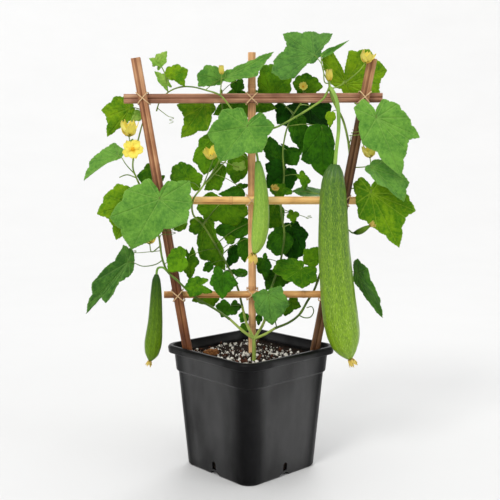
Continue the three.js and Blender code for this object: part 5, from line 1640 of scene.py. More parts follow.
@dataclass
class Runner:
    """One leafy runner of the vine with its leaves, flower stalks and tendrils."""

    name: str
    path: tuple[Triple, ...]
    radius: Pair
    leaves: tuple[Leaf, ...]
    stalks: tuple[tuple[Triple, ...], ...] = ()
    tendrils: tuple[Tendril, ...] = ()
    node_every: float = 70.0
    node_swell: float = 0.16
    slim: float = 0.88
    flower_stalk: Pair = (1.25, 1.0)
    leaf_stalk: Pair = (1.2, 0.8)
    small_share: float = 0.75
    tendril: Pair = (0.8, 0.45)

    def stems(self) -> None:
        """The runner itself and every stalk and tendril on it."""
        main = smooth_route(spot_of(self.path))
        sides = [smooth_route(spot_of(points)) for points in self.stalks]
        lines = [evenly(line, 4 * MM) for line in (main, *sides)]
        thick = tapered(evenly(main, 3 * MM), self.radius, self.slim)
        swell = np.cos(lengths_of(thick.line) / (self.node_every * MM) * math.tau)
        thick.thick *= 1 + self.node_swell * np.clip(swell - 0.8, 0, 1) * 5
        thin = [tapered(line, self.flower_stalk) for line in sides]
        for leaf in self.leaves:
            line = leaf.stalk(lines)
            if line is not None:
                share = 1.0 if leaf.frame()[2] > SMALL_LEAF else self.small_share
                thin.append(tapered(line, self.leaf_stalk, share))
        thin += [tapered(tendril.line(), self.tendril) for tendril in self.tendrils]
        name = f"{self.name}_runner"
        mesh = swept(name, [thick], Section.STEM, Look.STEM, 3 * MM, 6.0, 0.25 * MM, 120)
        put(name, mesh, [self.name])
        mesh = swept(f"{self.name}_stalks", thin, Section.THIN, Look.STEM, 2.6 * MM)
        put(f"{self.name}_stalks", mesh, [self.name])

    def foliage(self) -> Object:
        """All the leaves of the runner as one piece."""
        tones = list(Tone)
        points, faces, maps, blades, picks, offset = [], [], [], [], [], 0
        for leaf in self.leaves:
            spots, skin, veins, blade = leaf.blade()
            points.append(spots)
            faces += [[point + offset for point in face] for face in skin]
            maps.append(veins)
            blades.append(blade)
            picks += [tones.index(leaf.tone)] * len(skin)
            offset += len(spots)
        mesh = mesh_from(f"{self.name}_leaves", np.vstack(points), faces, tones)
        mesh.polygons.foreach_set("material_index", np.array(picks, np.int32))
        keep_map(mesh, "veins", np.vstack(maps))
        keep_vectors(mesh, "blade", np.vstack(blades))
        return put(f"{self.name}_leaves", mesh, [self.name])

    def build(self) -> None:
        """Builds the runner's stems and leaves."""
        self.stems()
        self.foliage()


# The tones: painted light and shade from lit to deep shade, and the young leaves' own colour.
LIT, DULL, GLOW, MILD, SHADE, DEEP, YOUNG = Tone

LEFT_LEAVES = (
    Leaf((-172, -48, 531), (-225, -62, 437), (0, 12), LIT, ((-119, 0.43), (-77, 0.6), (-40, 0.91), (0, 1),
         (79, 0.64), (113, 0.57), (152, 0.62), (182, 0.37)), fold=0.08, bend=0.12, start=(-175, -30, 455),
         via=((-178, -44, 495),)),
    Leaf((-225, -32, 522), (-292, -42, 503), (-8, 5), GLOW, ((-92, 0.5), (-69, 0.69), (-33, 0.79), (0, 1),
         (17, 0.76), (49, 1.08), (63, 0.81)), fold=0.06),
    Leaf((-232, -54, 413), (-309, -79, 317), (58, 14), DULL, ((-159, 0.2), (-119, 0.31), (-29, 0.65), (0, 1),
         (-6, 0.67), (9, 0.7), (11, 0.33), (47, 0.22)), fold=0.18, bend=0.16, start=(-170, -34, 414),
         via=((-181, -52, 408), (-205, -54, 405))),
    Leaf((-236, 26, 706), (-280, 18, 650), (4, 6), GLOW, ((-124, 0.33), (-90, 0.51), (-47, 0.77),
         (-30, 0.68), (0, 1), (13, 0.57), (59, 0.32)), fold=0.08),
    Leaf((-215, 4, 697), (-230, -6, 679), (20, 12), YOUNG, ((-70, 0.36), (0, 1), (43, 0.72))),
    Leaf((-252, -28, 613), (-316, -48, 569), (-14, 35), LIT, ((-121, 0.35), (-108, 0.5), (-72, 0.46),
         (-35, 0.7), (0, 1), (-7, 0.53), (11, 0.2)), fold=-0.1, start=(-224, -10, 579),
         via=((-238, -20, 596),)),
    Leaf((-232, -6, 626), (-227, -4, 646), (0, 30), YOUNG, ((-41, 0.62), (0, 1), (80, 0.77)), fold=0.2,
         wide=0.9),
    Leaf((-188, 25, 568), (-225, 32, 574), (6, 4), MILD, ((-93, 0.84), (-52, 0.92), (0, 1), (60, 0.74),
         (121, 0.73), (208, 0.52)), fold=0.08),
    Leaf((-130, -36, 420), (-158, -42, 392), (6, 10), MILD, ((-121, 0.56), (-80, 0.66), (-39, 0.79), (0, 1),
         (41, 0.71)), bend=0.12),
    Leaf((-100, -28, 365), (-128, -32, 361), (0, 18), MILD, ((-154, 0.76), (-87, 0.63), (-40, 0.82), (0, 1),
         (45, 1.04), (139, 1.03)), fold=0.12),
    Leaf((-95, 20, 336), (-73, 24, 314), (0, 30), MILD, ((-114, 0.81), (-66, 0.54), (0, 1), (32, 1.09)),
         bend=0.12),
    Leaf((-132, 20, 486), (-142, 22, 464), (0, 10), MILD, ((-58, 0.72), (-24, 1.16), (0, 1), (37, 0.68))),
)

MIDDLE_LEAVES = (
    Leaf((-28, 32, 757), (-24, 36, 734), (0, 4), SHADE, ((-127, 0.51), (-60, 0.65), (0, 1), (43, 0.83),
         (96, 0.57))),
    Leaf((-91, 28, 712), (-138, 36, 648), (-4, 4), GLOW, ((-87, 0.36), (-54, 0.68), (-23, 0.57), (0, 1),
         (46, 0.61), (113, 0.3)), fold=0.08),
    Leaf((-75, 42, 646), (-116, 48, 605), (6, 6), MILD, ((-49, 0.45), (0, 1), (31, 1.24), (60, 0.93))),
    Leaf((-122, 24, 566), (-155, 32, 592), (8, 6), MILD, ((-182, 0.68), (-123, 0.69), (-59, 0.7),
         (-27, 0.94), (0, 1), (30, 0.88), (69, 0.81)), bend=0.12),
    Leaf((-87, 38, 482), (-51, 48, 383), (-6, 8), MILD, ((-82, 0.15), (-48, 0.43), (-32, 0.7), (0, 1),
         (12, 0.57), (12, 0.35), (72, 0.13))),
    Leaf((-58, 60, 591), (-95, 68, 544), (10, 10), MILD, ((-16, 0.45), (0, 1), (32, 0.78), (55, 0.37)),
         fold=0.12),
    Leaf((-54, -20, 384), (-55, -28, 337), (0, 10), SHADE, ((-130, 0.48), (-56, 0.65), (-16, 0.8), (0, 1),
         (31, 0.71), (62, 0.73), (115, 0.27)), fold=0.14, bend=0.12),
    Leaf((-34, 66, 429), (-50, 72, 385), (14, 8), DEEP, ((-49, 0.29), (0, 1), (32, 0.68), (87, 0.33))),
    Leaf((-56, 58, 519), (-30, 66, 471), (-14, 8), MILD, ((-127, 0.86), (-106, 0.99), (-72, 0.91), (0, 1),
         (40, 1), (71, 0.9))),
    Leaf((-122, 22, 412), (-120, 18, 368), (10, 20), MILD, ((-162, 0.43), (-27, 0.64), (0, 1), (66, 0.49),
         (158, 0.52))),
    Leaf((-40, 30, 312), (-59, 22, 293), (-10, 34), SHADE, ((-88, 0.85), (-51, 1.09), (0, 1), (75, 0.8),
         (134, 0.81), (191, 0.66)), fold=0.16, bend=0.12),
    Leaf((-12, 6, 302), (-20, -1, 286), (0, 20), SHADE, ((-58, 0.7), (0, 1), (52, 0.87)), fold=0.12,
         wide=0.9),
    Leaf((-9, 38, 605), (-33, 42, 558), (-8, 12), MILD, ((-104, 0.43), (-69, 0.69), (-35, 0.87), (0, 1),
         (21, 0.67), (56, 0.34)), fold=0.12),
    Leaf((-21, 31, 550), (-65, 33, 538), (8, 8), SHADE, ((-168, 0.38), (-103, 0.22), (-9, 0.57), (0, 1),
         (41, 0.62), (98, 0.42)), fold=0.12),
    Leaf((-9, 44, 729), (-75, 48, 694), (0, 6), MILD, ((-36, 0.53), (0, 1), (63, 0.56), (131, 0.87),
         (163, 0.42))),
    Leaf((-10, 54, 378), (-50, 58, 381), (4, 30), SHADE, ((-37, 0.33), (0, 1), (37, 0.45))),
    Leaf((-10, 50, 445), (-12, 54, 399), (4, 8), SHADE, ((-70, 0.4), (-26, 0.73), (0, 1), (30, 0.5))),
    Leaf((-79, 30, 399), (-96, 32, 385), (0, 14), SHADE, ((-47, 0.57), (0, 1), (37, 0.8))),
    Leaf((-34, 46, 444), (-52, 48, 451), (0, 14), MILD, ((-42, 0.66), (0, 1), (45, 0.76))),
    Leaf((-11, 14, 280), (-17, 12, 263), (0, 20), MILD, ((-38, 0.75), (0, 1), (46, 0.7)),
         start=(-21, 26, 334), via=((-14, 18, 302),)),
    Leaf((-23, 24, 590), (-13, 22, 604), (0, 20), YOUNG, ((-56, 0.83), (0, 1), (32, 0.6))),
    Leaf((-23, 24, 590), (-36, 22, 599), (0, 20), YOUNG, ((-36, 0.75), (0, 1), (46, 0.79))),
    Leaf((-6, 64, 478), (-75, 68, 462), (0, 8), SHADE, ((-47, 0.27), (-23, 0.67), (0, 1), (29, 0.78),
         (57, 0.45))),
    Leaf((-97, 40, 482), (-124, 42, 464), (4, 10), MILD, ((-80, 0.47), (-43, 0.75), (0, 1), (27, 0.91),
         (51, 0.61))),
)

CENTRE_LEAVES = (
    Leaf((76, 18, 322), (68, 14, 296), (10, 10), MILD, ((-33, 0.77), (0, 1), (89, 0.93), (143, 0.74)),
         fold=0.12),
    Leaf((57, 46, 371), (31, 48, 344), (0, 8), SHADE, ((-52, 0.89), (0, 1), (66, 0.59), (115, 0.69))),
    Leaf((26, 34, 407), (33, 34, 368), (-12, 10), SHADE, ((-86, 0.57), (-42, 0.76), (0, 1), (51, 0.59),
         (146, 0.39)), wide=0.8),
    Leaf((99, 14, 391), (42, 20, 388), (0, 34), MILD, ((-105, 0.31), (-50, 0.51), (-23, 0.89), (0, 1),
         (41, 0.72), (93, 0.81), (139, 0.72), (182, 0.55)), fold=0.18, bend=0.14),
    Leaf((114, 34, 400), (133, 32, 434), (12, 12), MILD, ((-40, 0.78), (0, 1), (45, 0.79), (71, 0.37)),
         bend=0.12),
    Leaf((81, 58, 471), (86, 66, 397), (8, 6), DEEP, ((-118, 0.21), (-51, 0.34), (-17, 0.79), (0, 1),
         (20, 0.85), (65, 0.51), (129, 0.23))),
    Leaf((49, 74, 512), (62, 80, 463), (-10, 6), MILD, ((-105, 0.36), (-34, 0.94), (0, 1), (20, 0.66))),
    Leaf((84, 30, 501), (85, 30, 480), (0, 14), MILD, ((-127, 0.48), (-61, 0.74), (0, 1), (69, 0.64)),
         fold=0.12),
    Leaf((65, 24, 550), (37, 28, 546), (0, 14), MILD, ((-99, 0.33), (-29, 0.8), (0, 1), (49, 0.92),
         (137, 0.7)), fold=0.12),
    Leaf((97, 26, 574), (106, 20, 546), (8, 12), MILD, ((-117, 0.3), (0, 1), (51, 0.84), (131, 0.46)),
         bend=0.12, wide=0.9),
    Leaf((70, 52, 585), (59, 60, 543), (6, 8), DEEP, ((-94, 1), (-32, 1.18), (0, 1), (33, 0.9), (72, 0.66))),
    Leaf((73, 68, 625), (106, 70, 625), (-8, 8), SHADE, ((-191, 0.8), (-116, 1.01), (-59, 1.12), (0, 1),
         (131, 0.55))),
    Leaf((139, 22, 664), (143, 32, 572), (14, 6), SHADE, ((-47, 0.87), (0, 1), (22, 0.74), (51, 0.43)),
         fold=0.16, bend=0.14, wide=0.8),
    Leaf((116, 56, 708), (155, 68, 669), (8, 4), DEEP, ((-144, 0.68), (-91, 0.63), (-38, 0.54), (0, 1),
         (47, 0.8)), wide=1.1),
    Leaf((69, 76, 709), (53, 82, 678), (-8, 4), DEEP, ((-77, 0.78), (0, 1), (51, 1.25), (92, 1.29)),
         fold=0.12, wide=0.8),
    Leaf((107, 16, 738), (108, 18, 773), (0, 8), MILD, ((-112, 0.54), (-77, 1.05), (-42, 0.98), (0, 1),
         (37, 0.99), (64, 0.95), (120, 0.56)), wide=0.9),
    Leaf((42, 34, 730), (41, 34, 792), (-6, 6), MILD, ((-77, 0.62), (-40, 1.01), (0, 1), (18, 1.02),
         (42, 0.68), (74, 0.46))),
    Leaf((135, 32, 538), (82, 36, 544), (0, 60), DULL, fold=0.12, wide=0.55),
    Leaf((91, 44, 686), (104, 46, 620), (4, 6), SHADE, ((-119, 0.18), (-53, 0.4), (-24, 0.66), (0, 1),
         (27, 0.71), (92, 0.25))),
    Leaf((67, 48, 459), (31, 50, 430), (0, 6), SHADE, ((-76, 0.45), (-29, 0.71), (0, 1), (32, 1.05),
         (60, 0.91))),
    Leaf((16, 12, 298), (15, 10, 278), (0, 20), SHADE, ((-41, 0.47), (0, 1), (43, 0.57))),
    Leaf((60, 52, 605), (22, 56, 637), (4, 8), SHADE, ((-64, 0.5), (-25, 1.05), (0, 1), (33, 0.6))),
)

RIGHT_LEAVES = (
    Leaf((34, -32, 348), (41, -42, 289), (0, 12), DULL, ((-132, 0.25), (-94, 0.53), (-40, 0.72), (0, 1),
         (27, 0.8), (56, 0.76), (116, 0.5), (136, 0.25)), bend=0.12),
    Leaf((235, -46, 683), (279, -64, 573), (0, 8), LIT, ((-166, 0.38), (-136, 0.39), (-52, 0.46), (0, 1),
         (20, 0.7), (34, 0.61), (44, 0.74), (68, 0.5), (101, 0.4), (134, 0.34)), fold=0.08,
         start=(190, 4, 640), via=((206, 8, 652), (226, -2, 666), (234, -28, 678))),
    Leaf((230, -44, 590), (289, -58, 529), (22, 44), LIT, ((-108, 0.25), (-47, 0.5), (0, 1), (33, 0.92),
         (86, 0.38)), fold=0.16, bend=0.14),
    Leaf((232, -8, 542), (287, -24, 437), (0, 4), GLOW, ((-172, 0.31), (-145, 0.32), (-83, 0.29),
         (-54, 0.45), (-17, 0.62), (0, 1), (26, 0.68), (40, 0.77), (59, 0.59), (116, 0.3)), fold=0.06,
         bend=0.08),
    Leaf((207, -14, 385), (254, -34, 301), (-60, 10), DULL, ((-34, 0.31), (-9, 0.64), (0, 1), (32, 0.76),
         (88, 0.42), (135, 0.36)), fold=0.12, bend=0.14, wide=0.8),
    Leaf((186, 34, 753), (270, 48, 781), (0, -10), GLOW, ((-260, 0.78), (-241, 0.77), (-204, 0.4),
         (-79, 0.51), (-39, 0.82), (-17, 0.76), (0, 1), (39, 0.9), (70, 0.71)), fold=0.08, bend=0.06),
    Leaf((120, -14, 803), (38, -44, 766), (-6, 14), DULL, ((-165, 0.22), (-154, 0.8), (-117, 0.56),
         (-63, 0.76), (-45, 0.57), (-16, 0.84), (0, 1), (14, 0.94), (25, 0.7), (25, 0.27)), fold=-0.06,
         bend=0.14, start=(149, -14, 750), via=((140, -21, 751), (136, -21, 780))),
    Leaf((153, -12, 694), (151, -14, 666), (0, 10), GLOW, ((-59, 0.56), (0, 1), (57, 0.55)), wide=0.8),
    Leaf((137, -14, 803), (185, -22, 830), (0, 10), LIT, ((-60, 0.45), (0, 1), (60, 0.45)), bend=-0.2,
         wide=0.3, start=(149, -14, 750), via=((138, -16, 770),)),
)

ARCH_LEAVES = (
    Leaf((-7, -46, 667), (-58, -60, 602), (0, 10), LIT, ((-120, 0.48), (-86, 0.67), (-42, 0.91), (0, 1),
         (67, 0.68), (130, 0.62), (169, 0.48)), fold=0.08),
    Leaf((-58, 0, 759), (-100, -10, 745), (0, 8), LIT, ((-91, 0.59), (-60, 0.85), (-28, 1.01), (0, 1),
         (15, 0.55), (64, 0.26)), fold=0.08, start=(-88, -16, 738)),
    Leaf((-47, -17, 762), (43, -20, 810), (10, 30), LIT, ((-43, 0.24), (-31, 0.6), (-12, 0.74), (0, 1),
         (10, 0.46), (73, 0.12)), bend=-0.1),
    Leaf((-155, 2, 763), (-119, -4, 776), (0, 10), GLOW, ((-53, 0.26), (-52, 0.92), (0, 1), (38, 0.76),
         (86, 0.52))),
    Leaf((-176, 2, 790), (-160, 0, 812), (0, 20), YOUNG, fold=0.2, wide=0.7),
    Leaf((-176, 2, 790), (-195, 4, 799), (0, 30), YOUNG, fold=0.2, wide=0.7),
    Leaf((-165, 6, 752), (-184, 2, 775), (30, 10), YOUNG, fold=0.3, wide=0.6),
)

RUNNERS = (
    Runner(
        "vine_left",
        ((-41, -12, 295), (-70, -10, 315), (-99, -14, 333), (-118, -24, 350), (-140, -36, 374),
         (-159, -38, 392), (-170, -34, 418), (-175, -30, 452), (-184, -12, 486), (-198, 4, 516),
         (-212, 8, 547), (-221, -6, 571), (-226, -16, 590), (-224, -16, 613), (-217, -4, 643),
         (-210, 14, 676), (-200, 22, 704)),
        (2.8, 1.6), LEFT_LEAVES,
        (((-224, -16, 604), (-229, -18, 628), (-232, -20, 650)),
         ((-226, -16, 594), (-225, -20, 618), (-223, -34, 624)),
         ((-175, -30, 440), (-190, -34, 430), (-193, -38, 446)),
         ((-221, -6, 571), (-238, -14, 577), (-252, -18, 572))),
        (Tendril((-175, -30, 452), (-161, -14.8, 462), (17, 14), 7, 2.2, 228, -0.167),
         Tendril((-173, -32, 432), (-222, -36, 428), (5, 3), 3, 1.8, 60)),
    ),
    Runner(
        "vine_middle",
        ((-17, 20, 316), (-26, 32, 350), (-46, 36, 394), (-73, 34, 441), (-94, 22, 477), (-112, -2, 500),
         (-111, -20, 529), (-92, -20, 555), (-73, -4, 582), (-56, 12, 617), (-48, 16, 652), (-54, 14, 690),
         (-56, 6, 738), (-58, -18, 735)),
        (2.6, 1.6), MIDDLE_LEAVES,
        (((-92, -20, 555), (-80, -16, 585), (-71, -20, 608)),
         ((-92, -20, 555), (-70, -14, 578), (-44, -10, 608), (-30, -8, 624))),
    ),
    Runner(
        "vine_centre",
        ((32, 24, 315), (43, 36, 354), (59, 42, 401), (67, 42, 454), (60, 38, 514), (66, 38, 574),
         (64, 40, 629), (76, 42, 680), (97, 34, 714), (114, 20, 740)),
        (2.8, 1.6), CENTRE_LEAVES,
        (((97, 34, 714), (101, 8, 737), (100, -4, 744)), ((64, 38, 540), (50, 24, 540), (46, 12, 548))),
        (Tendril((62, 40, 508), (116, 26, 490), (7, 4), 4, 1.7, 100),),
    ),
    Runner(
        "vine_right",
        ((47, -26, 280), (77, -8, 289), (97, 6, 302), (112, 16, 325), (126, 19, 348), (142, 22, 392),
         (164, 17, 436), (182, 14, 473), (189, 17, 512), (192, 17, 547), (192, 6, 590), (190, 4, 632),
         (178, 4, 682), (165, -4, 704), (155, -14, 722), (150, -15, 740), (149, -14, 754)),
        (2.8, 2.6), RIGHT_LEAVES,
        (((150, -15, 740), (166, -12, 744), (202, -26, 770), (215, -28, 786)),
         ((192, 6, 590), (228, -22, 596), (227, -24, 610)),
         ((95, 5, 300), (107, 4, 295), (118, 2, 297), (124, 0, 309), (120, 0, 318), (110, -2, 316))),
        (Tendril((190, 4, 632), (204, -14.8, 650), (18, 14), 6, 2.2, 126, 0.185),),
    ),
    Runner(
        "vine_arch",
        ((149, -18, 742), (143, -23, 730), (136, -26, 719), (119, -28, 707), (95, -31, 692), (69, -34, 677),
         (46, -36, 666), (20, -36, 662), (-8, -34, 668), (-34, -28, 698), (-58, -21, 727), (-85, -16, 737),
         (-112, -8, 744), (-136, 0, 744), (-160, 12, 735), (-177, 17, 717), (-184, 24, 700)),
        (2.4, 1.5), ARCH_LEAVES,
        (((-58, -20, 727), (-56, -24, 748), (-55, -26, 765)),
         ((-160, 12, 735), (-166, 4, 773), (-176, 2, 790))),
        (Tendril((-182, 20, 706), (-155, 22, 690), (6, 4), -7, 2, 180),),
    ),
)


@dataclass
class MainStem:
    """The thick stem out of the soil, which forks into the starts of four runners."""

    path: tuple[Triple, ...] = ((5, -42, 150), (6, -45, 226), (6, -41, 262))
    forks: tuple[tuple[Triple, ...], ...] = (
        ((-15, -25, 274), (-41, -12, 295)), ((-9, -10, 289), (-17, 20, 316)),
        ((26, 0, 287), (32, 24, 315)), ((28, -34, 270), (47, -26, 280)),
    )
    trunk_radius: Pair = (4.6, 3.7)
    fork_radius: Pair = (3.2, 2.5)

    def build(self) -> Object:
        """Sweeps the trunk and its forks in place of their solid."""
        strands = [tapered(smooth_route(spot_of(self.path)), self.trunk_radius)]
        for way in self.forks:
            strands.append(tapered(smooth_route(spot_of([self.path[-1], *way])), self.fork_radius))
        mesh = swept("stem_main", strands, Section.FLUTED, Look.TRUNK, 2.5 * MM, 4.0, 0.5 * MM, 90)
        return put("stem_main_trunk", mesh, ["stem_main"])


# Fruits and flowers


@dataclass
class Luffa:
    """A hanging fruit with its stalk."""

    name: str
    path: tuple[Triple, ...]
    radii: tuple[float, ...]
    look: Look
    stalk: tuple[Triple, ...]
    stalk_radius: Pair
    ridges: int = 10
    ridge: float = 0.014
    around: int = 120
    slim: float = 0.86

    def body(self) -> Object:
        """The fruit, with shallow furrows that deepen towards its neck."""
        route = smooth_route(spot_of(self.path), 12)
        knots = np.arange(len(self.radii)) * 12
        spread = smooth_route(np.column_stack([knots, self.radii, np.zeros(len(knots))]).astype(float), 12)
        thick = np.interp(np.arange(len(route)), spread[:, 0], spread[:, 1])
        lengths = lengths_of(route)
        whole = lengths[-1]
        even = np.linspace(0, whole, max(40, round(whole / (2.6 * MM))))
        line = at_lengths(route, even)
        size = np.interp(even, lengths, thick) * MM
        tangent = np.gradient(line, axis=0)
        tangent /= np.linalg.norm(tangent, axis=1, keepdims=True)
        across = np.cross(np.array([0.0, 1.0, 0.0]), tangent)
        across /= np.linalg.norm(across, axis=1, keepdims=True)
        up = np.cross(tangent, across)
        turn = np.arange(self.around) / self.around * math.tau
        share = even / whole
        groove = np.cos(self.ridges * turn)
        depth = self.ridge * (1 + 3 * np.exp(-share / 0.05) + 2 * np.exp(-(1 - share) / 0.05))
        reach = size[:, None] * (1 + depth[:, None] * groove[None, :])
        rings = line[:, None, :] + reach[..., None] * (
            across[:, None, :] * np.cos(turn)[None, :, None] + up[:, None, :] * np.sin(turn)[None, :, None])
        flat = rings.reshape(-1, 3)
        bumps = np.array([noise.noise(Vector(spot) * 55) for spot in flat]).reshape(len(line), -1, 1)
        rings += (rings - line[:, None, :]) * 0.012 * bumps
        mesh = closed_rings(self.name, rings, [self.look])
        circle = np.column_stack([np.cos(turn), np.sin(turn)])
        skin = np.array([[(x, y, s) for x, y in circle] for s in even]).reshape(-1, 3)
        ribs = np.array([[(g, s, 0.0) for g in groove] for s in share]).reshape(-1, 3)
        ends = np.array([[0, 0, 0.0], [0, 0, whole]])
        keep_vectors(mesh, "skin", np.vstack([skin, ends]))
        keep_vectors(mesh, "ribs", np.vstack([ribs, [[0, 0, 0], [0, 1, 0]]]))
        return put(f"{self.name}_skin", mesh, [self.name])

    def build(self) -> None:
        """Builds the fruit and its stalk."""
        self.body()
        line = smooth_route(spot_of([*self.stalk, self.path[0], self.path[1]]))
        strand = tapered(line, self.stalk_radius, self.slim)
        flare = 1 - lengths_of(line) / lengths_of(line)[-1]
        strand.thick *= 1 + 0.35 * np.exp(-flare / 0.08)
        name = f"{self.name}_stalk"
        mesh = swept(name, [strand], Section.FLUTED, Look.THICK_STEM, 2.5 * MM, 5.0, 0.3 * MM, 120)
        put(name, mesh, [self.name])


@dataclass
class Bloom:
    """One flower: where its stalk ends, which way it opens, its reach, and how far it is closed."""

    name: str
    at: Triple
    along: Triple
    reach: float
    cup: float
    look: Look = Look.PETAL
    crumple: float = 0.08
    petals: int = 5
    petal_size: Pair = (0.46, 1.0)
    sepal_size: Pair = (0.1, 0.42)
    sepal_drop: float = 1.3
    shut: float = 1.05
    thickness: float = 0.5
    rows: int = 15
    columns: int = 13

    def petal(self, wide: float, long: float, closing: float) -> Mesh:
        """One petal or sepal round the flower's axis, from the middle outwards.

        Args:
            wide: its half width, as a share of the reach.
            long: its length, as a share of the reach.
            closing: how far it stands up, from 0 for flat to over 1 for closed.

        Returns:
            A thin closed mesh, in metres.
        """
        reach = self.reach * MM
        across, along = np.meshgrid(np.linspace(-1, 1, self.columns), np.linspace(0, 1, self.rows))
        across, along = across.ravel(), along.ravel()
        half = wide * np.sin(math.pi * (0.08 + 0.78 * along ** 0.8)) ** 0.8
        notch = 0.06 * np.exp(-(across / 0.25) ** 2) * along ** 6
        out = long * (along - notch) * (1 - 0.35 * closing * along)
        ruffle = self.crumple * along ** 2 * np.sin(5.2 * across + 3.1 * along + self.at[0])
        lift = long * closing * along ** 1.3 - 0.12 * (1 - min(1.0, closing)) * along ** 3
        lift += ruffle + 0.16 * half * across ** 2 + 0.5 * self.crumple * np.sin(9 * along + 2.3 * across)
        spots = np.column_stack([out, half * across * (1 - 0.2 * closing * along), lift]) * reach
        faces = grid_faces(self.rows, self.columns, closed=False).tolist()
        number = np.arange(len(spots)).reshape(self.rows, self.columns)
        border = np.concatenate([number[0], number[1:, -1], number[-1, -2::-1], number[-2:0:-1, 0]])
        mesh = mesh_from("petal", *sheet(spots, faces, border[::-1].tolist(), self.thickness))
        values = np.column_stack([across, along])
        keep_map(mesh, "petal", np.vstack([values, values]))
        return faced_out(mesh)

    def frame(self) -> Matrix:
        """The turn and place that set the flower on its stalk."""
        axis = Vector(self.along).normalized()
        side = Vector((1, 0.3, 0.1)).cross(axis).normalized()
        up = axis.cross(side)
        turn = Matrix((side, up, axis)).transposed().to_4x4()
        return Matrix.Translation((Vector(self.at) + axis * 0.8) * MM) @ turn

    def whorl(self, name: str, petal: Mesh, look: Enum, sway: float) -> Mesh:
        """Petals or sepals set round the axis and turned into place."""
        seed = int(abs(self.at[0]) + abs(self.at[2]))
        values = {"Count": self.petals, "Sway": sway, "Seed": seed, "Material": material_of(look)}
        mesh = whorl_plan().grow(name, petal, values)
        mesh.transform(self.frame())
        return mesh

    def middle(self) -> Mesh:
        """The knot of anthers in the flower's throat."""
        mesh = ball(3)
        for point in mesh.vertices:
            x, y, z = point.co
            push = 1 + 0.35 * noise.noise(point.co * 3.2)
            place = Vector((0.15 * x, 0.15 * y, 0.16 + 0.17 * z))
            point.co = place * (push * self.reach * MM)
        mesh.materials.append(material_of(Look.ANTHER))
        mesh.shade_smooth()
        mesh.transform(self.frame())
        return mesh

    def build(self) -> None:
        """Builds the petals, the calyx and the anthers."""
        petals = self.whorl("petals", self.petal(*self.petal_size, self.cup), self.look, 0.1)
        put(f"{self.name}_petals", petals, [self.name])
        sepal = self.petal(*self.sepal_size, self.cup - 0.12)
        sepal.transform(Matrix.Translation((0, 0, -self.sepal_drop * MM)))
        calyx = self.whorl("calyx", sepal, Look.STEM, 0.15)
        put(f"{self.name}_calyx", calyx, [self.name])
        if self.cup < self.shut:
            put(f"{self.name}_anthers", self.middle(), [self.name])


LUFFAS = (
    Luffa(
        "luffa_large",
        ((157, -62, 597), (155.5, -62, 585), (154, -62, 566), (154, -62, 531), (155, -62, 485),
         (157, -62, 437), (161, -62, 390), (166, -62, 341), (171, -62, 305), (176, -62, 276),
         (181, -62, 254), (186, -62, 238), (189, -62, 229)),
        (8, 15.5, 21, 25, 27.5, 29.5, 31, 32.3, 32.8, 31, 25, 15, 6), Look.SKIN,
        ((151, -19, 741), (156, -28, 731), (161, -34, 717), (164, -42, 697), (164, -51, 660),
         (159, -60, 620)),
        (4.6, 3.8),
    ),
    Luffa(
        "luffa_centre",
        ((13, -40, 603), (15, -40, 590), (18, -40, 565), (20, -40, 530), (18.5, -40, 482), (14, -40, 450),
         (9, -40, 434), (6, -40, 429)),
        (4.5, 7.5, 11, 13.8, 16, 13, 7.5, 4), Look.PALE_SKIN,
        ((0, -35, 664), (4, -37, 645), (10, -39, 622), (13, -40, 606)), (2.0, 3.0), around=80,
    ),
    Luffa(
        "luffa_left",
        ((-180, -44, 388), (-180.5, -44, 378), (-181, -44, 355), (-182, -44, 325), (-184, -44, 290),
         (-188, -44, 255), (-191, -44, 234), (-193, -44, 225), (-194, -44, 221)),
        (3.5, 7.5, 10.3, 12.2, 14.3, 16.5, 13, 7.5, 4), Look.DEEP_SKIN,
        ((-159, -38, 392), (-168, -42, 401), (-177, -44, 400), (-180, -44, 390)), (2.2, 3.0), around=80,
    ),
    Luffa(
        "luffa_baby", ((198, -28, 466), (203, -30, 467), (210, -33, 470), (218, -36, 475), (226, -38, 480)),
        (2.2, 4.8, 6, 5, 2.4), Look.DEEP_SKIN,
        ((182, 13, 473), (190, -6, 470), (195, -20, 466), (197.5, -27.5, 466)), (1.6, 2.0), around=50,
    ),
)

BLOOMS = (
    Bloom("flower_left_upper", (-232, -20, 650), (0.05, -0.25, 1), 26, 1.0),
    Bloom("flower_left_open", (-223, -34, 624), (0.05, -1, 0.4), 22, 0.25),
    Bloom("flower_left_low", (-193, -38, 446), (0, -0.1, 1), 22, 0.9),
    Bloom("flower_middle", (-71, -20, 608), (-0.3, -0.5, 0.85), 23, 0.8),
    Bloom("flower_top_small", (100, -4, 744), (0, -1, 0.3), 10, 0.5, crumple=0.16),
    Bloom("flower_right_top", (215, -28, 786), (0.25, -0.3, 1), 20, 1.0),
    Bloom("flower_right", (227, -24, 610), (-0.15, -0.4, 1), 21, 1.0),
    Bloom("flower_dried", (46, 12, 548), (0.2, -0.6, 0.6), 10, 0.5, Look.WITHERED, 0.2),
    Bloom("luffa_large_flower", (189, -62, 229), (8, 0, -16), 13, 1.1, Look.WITHERED, 0.16),
    Bloom("luffa_centre_flower", (6, -40, 429), (-4, 0, -15), 16, 1.1, Look.WITHERED, 0.16),
    Bloom("luffa_left_flower", (-194, -44, 221), (-5, 0, -15), 9, 1.1, Look.WITHERED, 0.16),
    Bloom("luffa_baby_flower", (226, -38, 480), (11, -3, 6), 9, 1.1, Look.WITHERED, 0.14),
    Bloom("bud_top_left", (-55, -26, 765), (0, 0, 1), 10, 1.6, crumple=0.05),
    Bloom("bud_top_right", (149, -14, 754), (0, -0.1, 1), 13, 1.6, crumple=0.05),
)


# Studio


